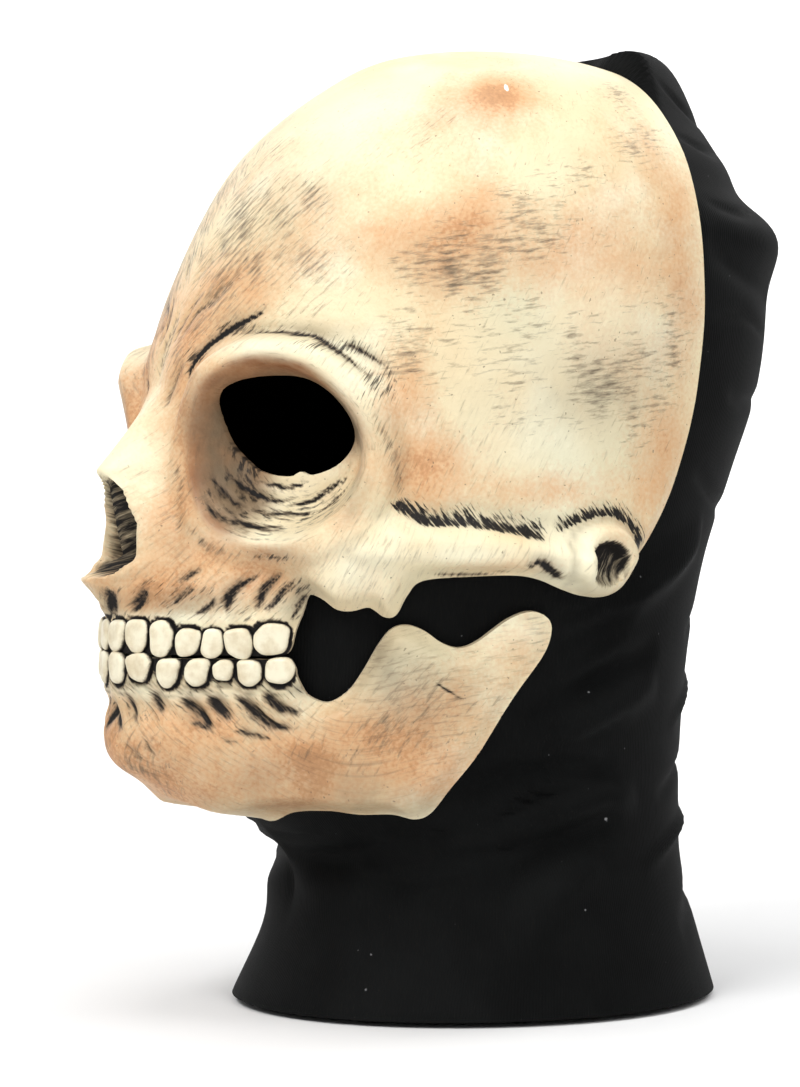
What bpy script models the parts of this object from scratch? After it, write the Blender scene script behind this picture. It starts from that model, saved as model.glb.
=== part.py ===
"""Skull mask: two cast latex pieces, skull and jaw, carried on a black stretch hood.

Metres, +Z up. The face looks along -Y and the wearer's left side is +X. The origin is on the
inner face of the hood at its crown, where the wearer's head holds the mask up.

All three pieces are drawn on one chart of the head. A place on it has an azimuth in degrees,
0 at the nose and 180 at the nape, and a station, 0 at the crown and 13 at the hem. The hood is
the chart's own form and the castings stand off it. Outlines, bones, teeth and folds are placed
by azimuth and station, and their lengths are shares of the named sizes, so everything follows
when a size changes.
"""
import math
from collections import namedtuple

import bpy
import numpy as np

# Hood
HOOD_WIDTH = 0.151
HOOD_LENGTH = 0.195
HOOD_DROP = 0.285
CLOTH_WALL = 0.0014
FOLD_RISE = 0.010

# Latex castings
LATEX_WALL = 0.0020
SEAT_GAP = 0.0012
BONE_REACH = 0.020
BONE_RISE = 0.010

# Eye sockets
SOCKET_WIDTH = 0.049
SOCKET_DEPTH = 0.013
SOCKET_TURN = 25.0
EYE_HOLE_WIDTH = 0.037
EYE_HOLE_HEIGHT = 0.029
EYE_HOLE_LIFT = 0.0078

# Nose
NOSE_CAVITY_WIDTH = 0.025
NOSE_CAVITY_DEPTH = 0.011
NOSE_BONE_RISE = 0.0135
NOSE_SPINE_RISE = 0.0085

# Cheek arch and ear ring
ARCH_HEIGHT = 0.011
ARCH_RISE = 0.0052
EAR_RING_WIDTH = 0.0156
EAR_RING_RISE = 0.0042

# Teeth
TOOTH_RISE = 0.0030
TOOTH_ROW = 0.0623
ROOT_RISE = 0.0012

# Length of one station down the head, the azimuth that is as long at the face, and how far a
# casting's border rolls in to the cloth
STATION = HOOD_DROP / 11
DEGREES_A_STATION = 17.0
BORDER_ROLL = 0.005

# Hood sections, one for each station. level is a share of HOOD_DROP, half_width of HOOD_WIDTH,
# and front, middle and back of HOOD_LENGTH.
Section = namedtuple("Section", "level half_width front middle back")
HOOD_SECTIONS = (
    Section(0.000, 0.000, 0.040, 0.04, 0.040),
    Section(-0.012, 0.150, -0.130, 0.04, 0.200),
    Section(-0.047, 0.300, -0.235, 0.04, 0.325),
    Section(-0.103, 0.415, -0.335, 0.04, 0.415),
    Section(-0.175, 0.480, -0.410, 0.04, 0.470),
    Section(-0.260, 0.500, -0.465, 0.04, 0.490),
    Section(-0.351, 0.492, -0.495, 0.03, 0.475),
    Section(-0.442, 0.472, -0.500, 0.02, 0.425),
    Section(-0.533, 0.452, -0.505, 0.01, 0.375),
    Section(-0.625, 0.428, -0.505, 0.00, 0.350),
    Section(-0.716, 0.405, -0.490, 0.00, 0.340),
    Section(-0.800, 0.385, -0.380, 0.02, 0.338),
    Section(-0.877, 0.385, -0.310, 0.04, 0.345),
    Section(-1.000, 0.450, -0.385, 0.03, 0.395),
)

# How far the bone stands off the hood at each station, as shares of BONE_REACH, at six
# azimuths from the face's middle to the ear.
StandOff = namedtuple("StandOff", "nose canine cheek outer temple ear")
STAND_OFF_AZIMUTHS = StandOff(0, 15, 30, 45, 65, 90)
STAND_OFFS = (
    StandOff(0.00, 0.00, 0.00, 0.00, 0.00, 0.00),
    StandOff(0.00, 0.00, 0.00, 0.00, 0.00, 0.00),
    StandOff(0.00, 0.00, 0.00, 0.00, 0.00, 0.00),
    StandOff(0.00, 0.00, 0.00, 0.00, 0.00, 0.00),
    StandOff(0.00, 0.00, 0.00, 0.00, 0.00, 0.00),
    StandOff(0.10, 0.10, 0.10, 0.06, 0.00, 0.00),
    StandOff(0.20, 0.20, 0.25, 0.25, 0.05, 0.00),
    StandOff(0.50, 0.35, 0.30, 0.35, 0.15, 0.05),
    StandOff(0.80, 0.55, 0.35, 0.40, 0.25, 0.15),
    StandOff(0.91, 0.70, 0.25, 0.20, 0.15, 0.05),
    StandOff(0.95, 0.75, 0.35, 0.25, 0.15, 0.05),
    StandOff(0.92, 0.85, 0.60, 0.35, 0.15, 0.00),
    StandOff(0.92, 0.85, 0.60, 0.35, 0.15, 0.00),
    StandOff(0.92, 0.85, 0.60, 0.35, 0.15, 0.00),
)

# Rounded swellings and hollows of the bone. wide and tall are shares of HOOD_WIDTH and rise
# is a share of BONE_RISE.
Spot = namedtuple("Spot", "azimuth station wide tall rise")
BONE_SPOTS = {
    "glabella": Spot(6, 5.75, 0.093, 0.066, 0.20),
    "cheekbone": Spot(49, 7.95, 0.093, 0.073, 0.50),
    "cheek_front_tip": Spot(45, 8.35, 0.046, 0.046, 0.30),
    "cheek_back_tip": Spot(55.5, 8.40, 0.040, 0.060, 0.30),
    "canine_hollow": Spot(33, 8.10, 0.073, 0.060, -0.50),
    "cheek_hollow": Spot(40, 8.55, 0.046, 0.066, -0.30),
    "lip_hollow": Spot(0, 9.62, 0.265, 0.040, -0.20),
    "chin_boss": Spot(0, 10.10, 0.106, 0.060, 0.32),
    "temple_hollow": Spot(72, 7.00, 0.172, 0.132, -0.08),
}

# Loose swellings and dents of the hood, in the same way. rise is a share of FOLD_RISE.
CLOTH_SPOTS = {
    "crown_puff": Spot(180, 1.75, 0.42, 0.110, 0.90),
    "back_dip": Spot(150, 3.55, 0.30, 0.050, -0.15),
    "back_bag": Spot(156, 4.25, 0.34, 0.075, 0.62),
}

# Folds of the hood: each runs from start over middle to end, with its half width as a share
# of HOOD_WIDTH and its rise as a share of FOLD_RISE.
Fold = namedtuple("Fold", "start middle end half_width rise")
CLOTH_FOLDS = {
    "bag_crease": Fold((112, 4.35), (127, 4.62), (150, 4.85), 0.040, -0.30),
    "nape_ridge": Fold((131, 7.70), (117, 8.10), (99, 8.62), 0.035, 0.40),
    "ear_fold": Fold((106, 8.55), (96, 8.72), (84, 8.95), 0.022, -0.25),
    "jaw_back_fold": Fold((118, 9.00), (98, 9.36), (80, 9.72), 0.028, -0.40),
    "jaw_back_ridge": Fold((120, 9.40), (100, 9.72), (84, 10.05), 0.032, 0.32),
    "throat_fold": Fold((104, 10.42), (86, 10.36), (62, 10.62), 0.028, -0.40),
    "throat_ridge": Fold((112, 10.75), (92, 10.82), (70, 11.10), 0.036, 0.34),
    "collar_fold": Fold((104, 10.95), (88, 11.25), (66, 12.10), 0.030, -0.32),
    "collar_ridge": Fold((96, 11.60), (82, 12.00), (60, 12.60), 0.036, 0.30),
    "front_fold": Fold((0, 11.55), (22, 11.62), (42, 11.35), 0.030, -0.30),
    "front_ridge": Fold((0, 11.95), (20, 12.05), (40, 12.05), 0.040, 0.30),
}

# Ridge of the cheek arch and the groove above it, ear ring and eye socket, on the chart
ARCH_LINE = ((50, 7.75), (57, 7.82), (64, 7.85), (72, 7.88), (80, 8.00), (85, 8.02))
GROOVE_LINE = ((53, 7.20), (60.5, 7.47), (68, 7.47), (76, 7.55), (83, 7.62), (88, 7.50))
EAR_PLACE = (90.5, 8.0)
SOCKET_PLACE = (32, 6.8)
GROOVE_SINK = 0.15

# Rise of the socket's rim round its edge, as shares of BONE_RISE. Bearing 0 is the outer
# side and 90 the brow.
RimRise = namedtuple("RimRise", "bearing rise")
SOCKET_RIM = (
    RimRise(-180, 0.15),
    RimRise(-150, 0.10),
    RimRise(-90, 0.28),
    RimRise(-45, 0.30),
    RimRise(0, 0.40),
    RimRise(45, 0.62),
    RimRise(90, 0.72),
    RimRise(130, 0.75),
    RimRise(165, 0.30),
    RimRise(180, 0.15),
)

# Nose: half width of the cavity as a share of NOSE_CAVITY_WIDTH, and rise of the bone above
# it as a share of NOSE_BONE_RISE, station by station.
NoseRow = namedtuple("NoseRow", "station half_width bone")
NOSE_ROWS = (
    NoseRow(6.05, 0.00, 0.00),
    NoseRow(6.35, 0.00, 0.28),
    NoseRow(6.70, 0.00, 0.68),
    NoseRow(6.98, 0.04, 1.00),
    NoseRow(7.20, 0.27, 1.00),
    NoseRow(7.60, 0.46, 0.62),
    NoseRow(8.00, 0.50, 0.25),
    NoseRow(8.15, 0.36, 0.17),
    NoseRow(8.24, 0.00, 0.12),
    NoseRow(8.60, 0.00, 0.00),
)

# Teeth from the middle to the cheek: width along the row as a share of TOOTH_ROW.
UPPER_TEETH = (0.173, 0.149, 0.138, 0.120, 0.112, 0.135, 0.173)
LOWER_TEETH = (0.150, 0.165, 0.145, 0.138, 0.108, 0.140, 0.154)
ToothBand = namedtuple("ToothBand", "teeth top bottom roots")
UPPER_BAND = ToothBand(UPPER_TEETH, 8.66, 9.00, 8.44)
LOWER_BAND = ToothBand(LOWER_TEETH, 9.08, 9.40, 9.62)

# Outlines on the chart, as azimuth and station. The skull's and the jaw's start and end on
# the middle line, and the face opening's too.
SKULL_OUTLINE = (
    (0, 9.02), (12, 9.02), (24, 9.02), (33, 9.02), (36.4, 9.00), (37.6, 8.90), (38.3, 8.74),
    (39.4, 8.55), (40.4, 8.36), (42.2, 8.38),
    (45.0, 8.50), (48.0, 8.52), (51.0, 8.48), (53.8, 8.58), (55.8, 8.55), (57.4, 8.34),
    (60.0, 8.19), (69.0, 8.15), (76.0, 8.14), (80.0, 8.19), (84.0, 8.29), (88.0, 8.37),
    (92.0, 8.36), (95.5, 8.27), (98.5, 8.11), (104.0, 7.72), (108.0, 7.20), (109.6, 6.50),
    (109.2, 5.50), (109.0, 4.60), (111.0, 3.50), (116.0, 2.45), (128.0, 1.60), (150.0, 1.05),
    (180.0, 0.93),
)
JAW_OUTLINE = (
    (0, 9.06), (12, 9.06), (24, 9.06), (33, 9.06), (36.8, 9.07), (38.2, 9.14), (38.8, 9.24),
    (39.6, 9.34), (41.0, 9.46), (44.1, 9.52),
    (47.8, 9.40), (50.4, 9.18), (52.9, 8.90), (55.2, 8.71), (57.9, 8.67), (61.1, 8.74),
    (64.2, 8.87), (67.3, 8.93), (70.5, 8.86), (75.3, 8.63), (78.9, 8.54), (81.8, 8.58),
    (83.4, 8.72), (82.6, 9.00), (78.3, 9.42), (71.3, 10.09), (62.9, 10.54), (57.0, 10.82),
    (52.9, 10.89), (48.7, 10.82), (41.3, 10.82), (34.2, 10.77), (24.5, 10.80), (14.0, 10.95),
    (7.0, 10.86), (0, 10.78),
)
FACE_OPENING = (
    (0, 5.40), (22, 5.42), (42, 5.62), (51, 6.20), (52.5, 6.80), (49, 7.30), (38, 7.75),
    (29, 8.30), (27, 9.00), (26, 9.60), (20, 9.95), (0, 10.05),
)

# Chart grids: degrees between the lines of azimuth, from the face to the nape, and stations
# between the rings. The last station each piece reaches, the station where the crown's ovals
# have reached their width, and the faces kept by each piece after it is thinned.
GridStep = namedtuple("GridStep", "azimuth degrees")
CAST_GRID = (GridStep(0, 1.2), GridStep(60, 1.6), GridStep(112, 4.0), GridStep(180, 4.0))
HOOD_GRID = (GridStep(0, 2.4), GridStep(180, 2.4))
CAST_RING = 0.05
HOOD_RING = 0.09
SKULL_LAST_STATION = 9.2
JAW_LAST_STATION = 11.2
HEM_STATION = 13.0
ROUND_CROWN_END = 4.0
SKULL_FACES = 2700
JAW_FACES = 1080
HOOD_FACES = 1450

Finish = namedtuple("Finish", "colour roughness")
AGED_BONE = Finish((0.72, 0.56, 0.37, 1), 0.55)
JAW_BONE = Finish((0.74, 0.58, 0.39, 1), 0.55)
BLACK_KNIT = Finish((0.008, 0.008, 0.010, 1), 0.90)


def clear_objects():
    """Remove what a new file starts with."""
    for old in list(bpy.data.objects):
        bpy.data.objects.remove(old, do_unlink=True)


def glide(rows, where):
    """Values of a table at fractional row numbers, on a smooth curve through its rows."""
    rows = np.asarray(rows, float)
    last = len(rows) - 1
    where = np.clip(where, 0, last)
    row = np.minimum(where.astype(int), last - 1)
    t = (where - row)[..., None]
    before, here = rows[np.maximum(row - 1, 0)], rows[row]
    after, beyond = rows[row + 1], rows[np.minimum(row + 2, last)]
    return 0.5 * (2 * here + (after - before) * t
                  + (2 * before - 5 * here + 4 * after - beyond) * t ** 2
                  + (3 * here - before - 3 * after + beyond) * t ** 3)


def section_at(station):
    """Hood section sizes at any station. A section mirrored past the crown keeps it round."""
    first = HOOD_SECTIONS[1]
    mirrored = Section(first.level, -first.half_width, first.back, first.middle, first.front)
    return np.moveaxis(glide((mirrored,) + HOOD_SECTIONS, station + 1), -1, 0)


def smooth_step(value):
    """0 below 0, 1 above 1, and a soft S between."""
    value = np.clip(value, 0, 1)
    return value * value * (3 - 2 * value)


def hood_points(azimuth, station):
    """Outer face of the smooth hood: an oval at each station, longer behind than in front."""
    level, half_width, front, middle, back = section_at(station)
    turn = np.radians(azimuth)
    reach = np.where(np.cos(turn) > 0, middle - front, back - middle)
    return np.stack([HOOD_WIDTH * half_width * np.sin(turn),
                     HOOD_LENGTH * (middle - reach * np.cos(turn)),
                     HOOD_DROP * level + CLOTH_WALL], -1)


def hood_normals(azimuth, station):
    """Outward unit normals of the smooth hood, from small steps on the chart."""
    station = np.maximum(station, 0.02)
    step = 0.01
    across = hood_points(azimuth + 60 * step, station) - hood_points(azimuth - 60 * step, station)
    down = hood_points(azimuth, station + step) - hood_points(azimuth, station - step)
    normal = np.cross(down, across)
    return normal / np.linalg.norm(normal, axis=-1, keepdims=True)


def stand_off(azimuth, station):
    """Height of the bone form over the hood, in metres, smooth both ways through the table."""
    column = np.interp(np.abs(azimuth), STAND_OFF_AZIMUTHS, range(len(STAND_OFF_AZIMUTHS)))
    table = np.array(STAND_OFFS, float)
    table = np.hstack([table[:, 1:2], table, table[:, -1:]])
    by_station = glide(table, station)
    place = np.minimum(column.astype(int), len(STAND_OFF_AZIMUTHS) - 2)
    t = column - place

    def pick(offset):
        return np.take_along_axis(by_station, (place + offset)[..., None], -1)[..., 0]

    before, here, after, beyond = pick(0), pick(1), pick(2), pick(3)
    return BONE_REACH * 0.5 * (2 * here + (after - before) * t
                               + (2 * before - 5 * here + 4 * after - beyond) * t ** 2
                               + (3 * here - before - 3 * after + beyond) * t ** 3)


def smooth_line(knots, samples=8):
    """Points of a smooth curve through chart knots."""
    where = np.linspace(0, len(knots) - 1, samples * (len(knots) - 1) + 1)
    return glide(knots, where)


def segment_distance(points, line):
    """Distance from each point to a broken line, and the share of the way along it."""
    start, end = line[:-1], line[1:]
    run = end - start
    reach = points[:, None, :] - start
    along = np.clip((reach * run).sum(-1) / (run * run).sum(-1), 0, 1)
    gap = np.linalg.norm(reach - along[..., None] * run, axis=-1)
    nearest = gap.argmin(1)
    rows = np.arange(len(points))
    return gap[rows, nearest], (nearest + along[rows, nearest]) / len(run)


def chart_flat(azimuth, station):
    """Chart places spread out so that a unit is about one station both ways."""
    return np.stack([np.abs(azimuth) / DEGREES_A_STATION, station], -1)


def inside_gap(azimuth, station, outline, corners):
    """Distance inside an outline in stations, negative outside. corners, on the flat chart,
    close it past the middle line, where it has no border."""
    line = smooth_line(outline)
    edge = chart_flat(line[:, 0], line[:, 1])
    places = chart_flat(azimuth, station)
    gap, _ = segment_distance(places, edge)
    ring = np.vstack([edge, corners])
    after = np.roll(ring, -1, 0)
    x, y = places[:, :1], places[:, 1:]
    crosses = (ring[:, 1] > y) != (after[:, 1] > y)
    rise = np.where(after[:, 1] == ring[:, 1], 1, after[:, 1] - ring[:, 1])
    left = x < ring[:, 0] + (y - ring[:, 1]) * (after[:, 0] - ring[:, 0]) / rise
    inside = (crosses & left).sum(1) % 2 == 1
    return np.where(inside, gap, -gap)


def skull_gap(azimuth, station):
    """Distance inside the skull's outline."""
    return inside_gap(azimuth, station, SKULL_OUTLINE, ((11, -1), (-4, -1), (-4, 9.02)))


def jaw_gap(azimuth, station):
    """Distance inside the jaw's outline."""
    return inside_gap(azimuth, station, JAW_OUTLINE, ((-4, 10.78), (-4, 9.06)))


def opening_gap(azimuth, station):
    """Distance outside the hood's face opening."""
    return -inside_gap(azimuth, station, FACE_OPENING, ((-4, 10.05), (-4, 5.40)))


def bone_base(azimuth, station, border):
    """Bone form before its relief, with the hood's normals.

    Behind the teeth the form rolls in to the cloth along the casting's border."""
    normal = hood_normals(azimuth, station)
    turn = np.radians(azimuth)
    away = np.stack([np.sin(turn), -np.cos(turn), 0 * turn], -1)
    roll = smooth_step(border * STATION / BORDER_ROLL)
    free = smooth_step((44 - np.abs(azimuth)) / 6) * (station < 10.2)
    height = stand_off(azimuth, station) * np.maximum(roll, free)
    lift = normal * (SEAT_GAP + LATEX_WALL)
    return hood_points(azimuth, station) + lift + away * height[..., None], normal


def bone_place(azimuth, station):
    """One place of the bone form with its side, up and outward directions."""
    azimuth, station = np.array([float(azimuth)]), np.array([float(station)])
    deep_inside = np.full(1, 9.0)
    point, out = bone_base(azimuth, station, deep_inside)
    side = np.cross((0, 0, 1), out[0])
    side /= np.linalg.norm(side)
    return point[0], side, np.cross(out[0], side), out[0]


def bone_line(knots):
    """Points in space of a smooth line over the bone form."""
    return np.array([bone_place(*place)[0] for place in smooth_line(knots, 5)])


def spot_height(points, spot):
    """Bell-shaped swelling of height 1 round a spot on the bone form."""
    centre, side, up, out = bone_place(spot.azimuth, spot.station)
    reach = points - centre
    wide, tall = spot.wide * HOOD_WIDTH, spot.tall * HOOD_WIDTH
    deep = 2.5 * max(wide, tall)
    return np.exp(-((reach @ side / wide) ** 2 + (reach @ up / tall) ** 2
                    + (reach @ out / deep) ** 2))


def socket_place(points):
    """Places seen along the socket's own axis: outward and upward of its centre, and whether
    they lie on its side of the head."""
    centre = bone_place(*SOCKET_PLACE)[0]
    turn = math.radians(SOCKET_TURN)
    reach = points - centre
    outward = reach @ np.array([math.cos(turn), math.sin(turn), 0])
    in_front = reach @ np.array([math.sin(turn), -math.cos(turn), 0]) > -SOCKET_WIDTH
    return outward, reach[:, 2], in_front


def socket_relief(points):
    """Rise of the socket's rim, and depth of its bowl along the socket's axis."""
    outward, upward, in_front = socket_place(points)
    radius = SOCKET_WIDTH / 2
    bearing = np.degrees(np.arctan2(upward, outward))
    away = np.hypot(outward, upward) / radius
    rise = BONE_RISE * np.interp(bearing, [r.bearing for r in SOCKET_RIM],
                                 [r.rise for r in SOCKET_RIM])
    rim = rise * np.exp(-((away - 1.18) / 0.19) ** 4)
    bowl = SOCKET_DEPTH * smooth_step((1.08 - away) / 0.42)
    return rim * in_front, bowl * in_front


def nose_relief(points, station):
    """Forward reach of the nose bone, of the cavity's rim and of the spine below it, less the
    cavity's depth."""
    x = np.abs(points[:, 0])
    rows = np.array(NOSE_ROWS)
    half_width = NOSE_CAVITY_WIDTH * np.interp(station, rows[:, 0], rows[:, 1])
    bone = NOSE_BONE_RISE * np.interp(station, rows[:, 0], rows[:, 2])
    bone_half = 0.34 * NOSE_CAVITY_WIDTH
    reach = bone * np.exp(-(x / bone_half) ** 2)
    rim_band = np.interp(station, (7.1, 7.4, 8.0, 8.2, 8.35), (0, 1, 1, 0.5, 0))
    rim_place = (x - half_width - 0.08 * NOSE_CAVITY_WIDTH) / (0.18 * NOSE_CAVITY_WIDTH)
    reach += 0.26 * NOSE_BONE_RISE * np.exp(-rim_place ** 2) * rim_band
    spine = np.exp(-(x / (0.26 * NOSE_CAVITY_WIDTH)) ** 2 - ((station - 8.14) / 0.13) ** 2)
    reach += NOSE_SPINE_RISE * spine
    open_across = np.clip((1 - x / np.maximum(half_width, 1e-6)) / 0.35, 0, 1)
    open_down = smooth_step((station - 7.0) / 0.2) * smooth_step((8.2 - station) / 0.12)
    septum = 1 - 0.5 * np.exp(-(x / (0.09 * NOSE_CAVITY_WIDTH)) ** 2)
    cavity = NOSE_CAVITY_DEPTH * smooth_step(open_across) * open_down * septum
    in_front = smooth_step(-points[:, 1] / HOOD_LENGTH / 0.3 - 0.5)
    return (reach - cavity) * in_front


def arch_relief(points):
    """Rise of the cheek arch, less the groove above it."""
    gap, along = segment_distance(points, bone_line(ARCH_LINE))
    arch = ARCH_RISE * np.exp(-(gap / (ARCH_HEIGHT / 2)) ** 4)
    arch *= np.interp(along, (0, 0.15, 1), (0.6, 1, 1))
    gap, along = segment_distance(points, bone_line(GROOVE_LINE))
    groove = GROOVE_SINK * BONE_RISE * np.exp(-(gap / (0.36 * ARCH_HEIGHT)) ** 2)
    return arch - groove * np.sqrt(np.sin(math.pi * np.clip(along, 0.01, 0.99)))


def ear_relief(points):
    """Rise of the ear ring, and its sunk middle."""
    radius = EAR_RING_WIDTH / 2
    away = np.linalg.norm(points - bone_place(*EAR_PLACE)[0], axis=-1) / radius
    ring = np.exp(-((away - 1.05) / 0.38) ** 4)
    return EAR_RING_RISE * (ring - 0.45 * smooth_step((0.85 - away) / 0.35))


def arch_length(azimuth, station):
    """Distance along the tooth row from the middle line, out to any azimuth."""
    degrees = np.linspace(0, 60, 121)
    row = np.full_like(degrees, station)
    points = bone_base(degrees, row, np.full_like(row, 9.0))[0]
    steps = np.linalg.norm(np.diff(points, axis=0), axis=1)
    return np.interp(np.abs(azimuth), degrees, np.concatenate([[0], np.cumsum(steps)]))


def tooth_relief(azimuth, station, band):
    """Rounded swelling of each tooth of one row, and of the roots that run on from it."""
    along = arch_length(azimuth, (band.top + band.bottom) / 2) / TOOTH_ROW
    edges = np.concatenate([[0], np.cumsum(band.teeth)])
    tooth = np.clip(np.searchsorted(edges, along, side="right") - 1, 0, len(band.teeth) - 1)
    across = 2 * (along - edges[tooth]) / (edges[tooth + 1] - edges[tooth]) - 1
    down = 2 * (station - band.top) / (band.bottom - band.top) - 1
    on_row = along < edges[-1]
    crown = np.clip(1 - across ** 4, 0, 1) * np.clip(1 - down ** 4, 0, 1)
    gum = band.top if band.roots < band.top else band.bottom
    fade = np.clip(1 - (station - gum) / (band.roots - gum), 0, 1)
    past_gum = (station - gum) * (band.roots - gum) > 0
    root = np.clip(1 - across ** 2, 0, 1) * np.sqrt(fade) * past_gum
    return (TOOTH_RISE * np.sqrt(crown) + ROOT_RISE * root) * on_row


def cast_points(azimuth, station, border):
    """Painted face of a casting."""
    base, normal = bone_base(azimuth, station, border)
    side = np.where(base[:, :1] < 0, -1.0, 1.0)
    folded = np.hstack([base[:, :1] * side, base[:, 1:]])
    height = sum(BONE_RISE * spot.rise * spot_height(folded, spot)
                 for spot in BONE_SPOTS.values())
    rim, bowl = socket_relief(folded)
    height = height + rim + arch_relief(folded) + ear_relief(folded)
    height += tooth_relief(azimuth, station, UPPER_BAND)
    height += tooth_relief(azimuth, station, LOWER_BAND)
    turn = math.radians(SOCKET_TURN)
    axis = side * np.array([[math.sin(turn), 0, 0]]) + np.array([[0, -math.cos(turn), 0]])
    forward = np.array([0, -1.0, 0]) * nose_relief(folded, station)[:, None]
    return base + normal * height[:, None] + forward - axis * bowl[:, None]


def eye_hole_gap(azimuth, station):
    """How far outside the eye hole a place lies, as a share of the hole's size."""
    deep_inside = np.full_like(station, 9.0)
    base = bone_base(azimuth, station, deep_inside)[0]
    base[:, 0] = np.abs(base[:, 0])
    outward, upward, in_front = socket_place(base)
    across = np.abs(outward + 0.05 * EYE_HOLE_WIDTH) / (EYE_HOLE_WIDTH / 2)
    up = np.abs(upward - EYE_HOLE_LIFT) / (EYE_HOLE_HEIGHT / 2)
    return np.where(in_front, across ** 2.4 + up ** 2.4 - 1, 1)


def fold_height(azimuth, station, fold):
    """Height 1 along a fold's smooth line, falling off over its width and at its ends."""
    line = smooth_line((fold.start, fold.middle, fold.end))
    gap, along = segment_distance(chart_flat(azimuth, station),
                                  chart_flat(line[:, 0], line[:, 1]))
    half_width = fold.half_width * HOOD_WIDTH / STATION
    return np.exp(-(gap / half_width) ** 2) * np.sin(math.pi * along)


def cloth_height(azimuth, station):
    """Loose folds of the hood. None stands up where a casting lies on it."""
    height = 0
    for spot in CLOTH_SPOTS.values():
        across = (np.abs(azimuth) - spot.azimuth) / DEGREES_A_STATION
        across *= STATION / (spot.wide * HOOD_WIDTH)
        across *= np.clip(station / ROUND_CROWN_END, 0.2, 1)
        down = (station - spot.station) * STATION / (spot.tall * HOOD_WIDTH)
        height = height + spot.rise * np.exp(-across ** 2 - down ** 2)
    for fold in CLOTH_FOLDS.values():
        height = height + fold.rise * fold_height(azimuth, station, fold)
    covered = np.maximum(skull_gap(azimuth, station), jaw_gap(azimuth, station))
    return FOLD_RISE * height * smooth_step(-covered * STATION / BORDER_ROLL)


def cloth_points(azimuth, station):
    """Outer face of the hood with its folds."""
    height = cloth_height(azimuth, station)[:, None]
    return hood_points(azimuth, station) + hood_normals(azimuth, station) * height


def grid_azimuths(steps):
    """Azimuths all round the head, closer in front, the same on both sides."""
    azimuths = [0.0]
    while azimuths[-1] < 180:
        here = azimuths[-1]
        azimuths.append(here + np.interp(here, [s.azimuth for s in steps],
                                         [s.degrees for s in steps]))
    half = np.array(azimuths) * 180 / azimuths[-1]
    return np.concatenate([half, -half[-2:0:-1]])


def chart_disc(azimuths, ring_step, last_station):
    """Chart laid out as a disc round the crown, and its triangles: a fan at the crown and
    rings of halved squares down to the last station."""
    rings = np.arange(1, round(last_station / ring_step) + 1) * ring_step
    rings *= last_station / rings[-1]
    turn = np.radians(azimuths)
    spokes = np.stack([np.sin(turn), -np.cos(turn)], -1)
    disc = np.vstack([[(0.0, 0.0)], (rings[:, None, None] * spokes).reshape(-1, 2)])
    count = len(azimuths)
    here = np.arange(count)
    after = np.roll(here, -1)
    fan = np.stack([0 * here, here + 1, after + 1], -1)
    upper = (1 + np.arange(len(rings) - 1) * count)[:, None]
    a, b = upper + here, upper + after
    c, d = a + count, b + count
    first = np.stack([a, c, d], -1).reshape(-1, 3)
    second = np.stack([a, d, b], -1).reshape(-1, 3)
    return disc, np.vstack([fan, first, second])


def chart_of(disc):
    """Azimuth and station of places on the disc."""
    return np.degrees(np.arctan2(disc[:, 0], -disc[:, 1])), np.hypot(disc[:, 0], disc[:, 1])


def clip(disc, faces, gap):
    """Cut the disc along gap = 0 and keep the faces where gap is positive."""
    value = gap(*chart_of(disc))
    keep = value > 0
    count = keep[faces].sum(1)
    whole = faces[count == 3]
    cut = faces[(count == 1) | (count == 2)]
    odd = np.where(keep[cut].sum(1) == 1, keep[cut].argmax(1), (~keep[cut]).argmax(1))
    cut = np.take_along_axis(cut, (odd[:, None] + np.arange(3)) % 3, 1)
    pairs = np.sort(np.vstack([cut[:, [0, 1]], cut[:, [0, 2]]]), 1)
    pairs, place = np.unique(pairs, axis=0, return_inverse=True)
    place = place.reshape(2, -1) + len(disc)
    low, high = value[pairs[:, 0]], value[pairs[:, 1]]
    share = np.clip(low / (low - high), 0.08, 0.92)[:, None]
    new = disc[pairs[:, 0]] * (1 - share) + disc[pairs[:, 1]] * share
    tip = keep[cut[:, 0]]
    tips = np.stack([cut[tip, 0], place[0, tip], place[1, tip]], -1)
    first = np.stack([place[0, ~tip], cut[~tip, 1], cut[~tip, 2]], -1)
    second = np.stack([place[0, ~tip], cut[~tip, 2], place[1, ~tip]], -1)
    return tidy(np.vstack([disc, new]), np.vstack([whole, tips, first, second]))


def tidy(disc, faces):
    """Drop the points that no face uses."""
    used, faces = np.unique(faces, return_inverse=True)
    return disc[used], faces.reshape(-1, 3)


def new_object(name, points, faces, wall, target, finish):
    """Walled object from a fine outer face, thinned where it is flat."""
    mesh = bpy.data.meshes.new(name)
    mesh.from_pydata(points.tolist(), [], faces.tolist())
    mesh.update()
    mesh.shade_smooth()
    item = bpy.data.objects.new(name, mesh)
    bpy.context.collection.objects.link(item)
    thin = item.modifiers.new("Thin", "DECIMATE")
    thin.ratio = min(1.0, target / len(faces))
    shell = item.modifiers.new("Wall", "SOLIDIFY")
    shell.thickness = wall
    shell.offset = -1
    shell.thickness_clamp = 1.0
    material = bpy.data.materials.new(name)
    material.use_nodes = True
    shader = material.node_tree.nodes["Principled BSDF"]
    shader.inputs["Base Color"].default_value = finish.colour
    shader.inputs["Roughness"].default_value = finish.roughness
    shader.inputs["Metallic"].default_value = 0.0
    material.diffuse_color = finish.colour
    mesh.materials.append(material)
    return item


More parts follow.
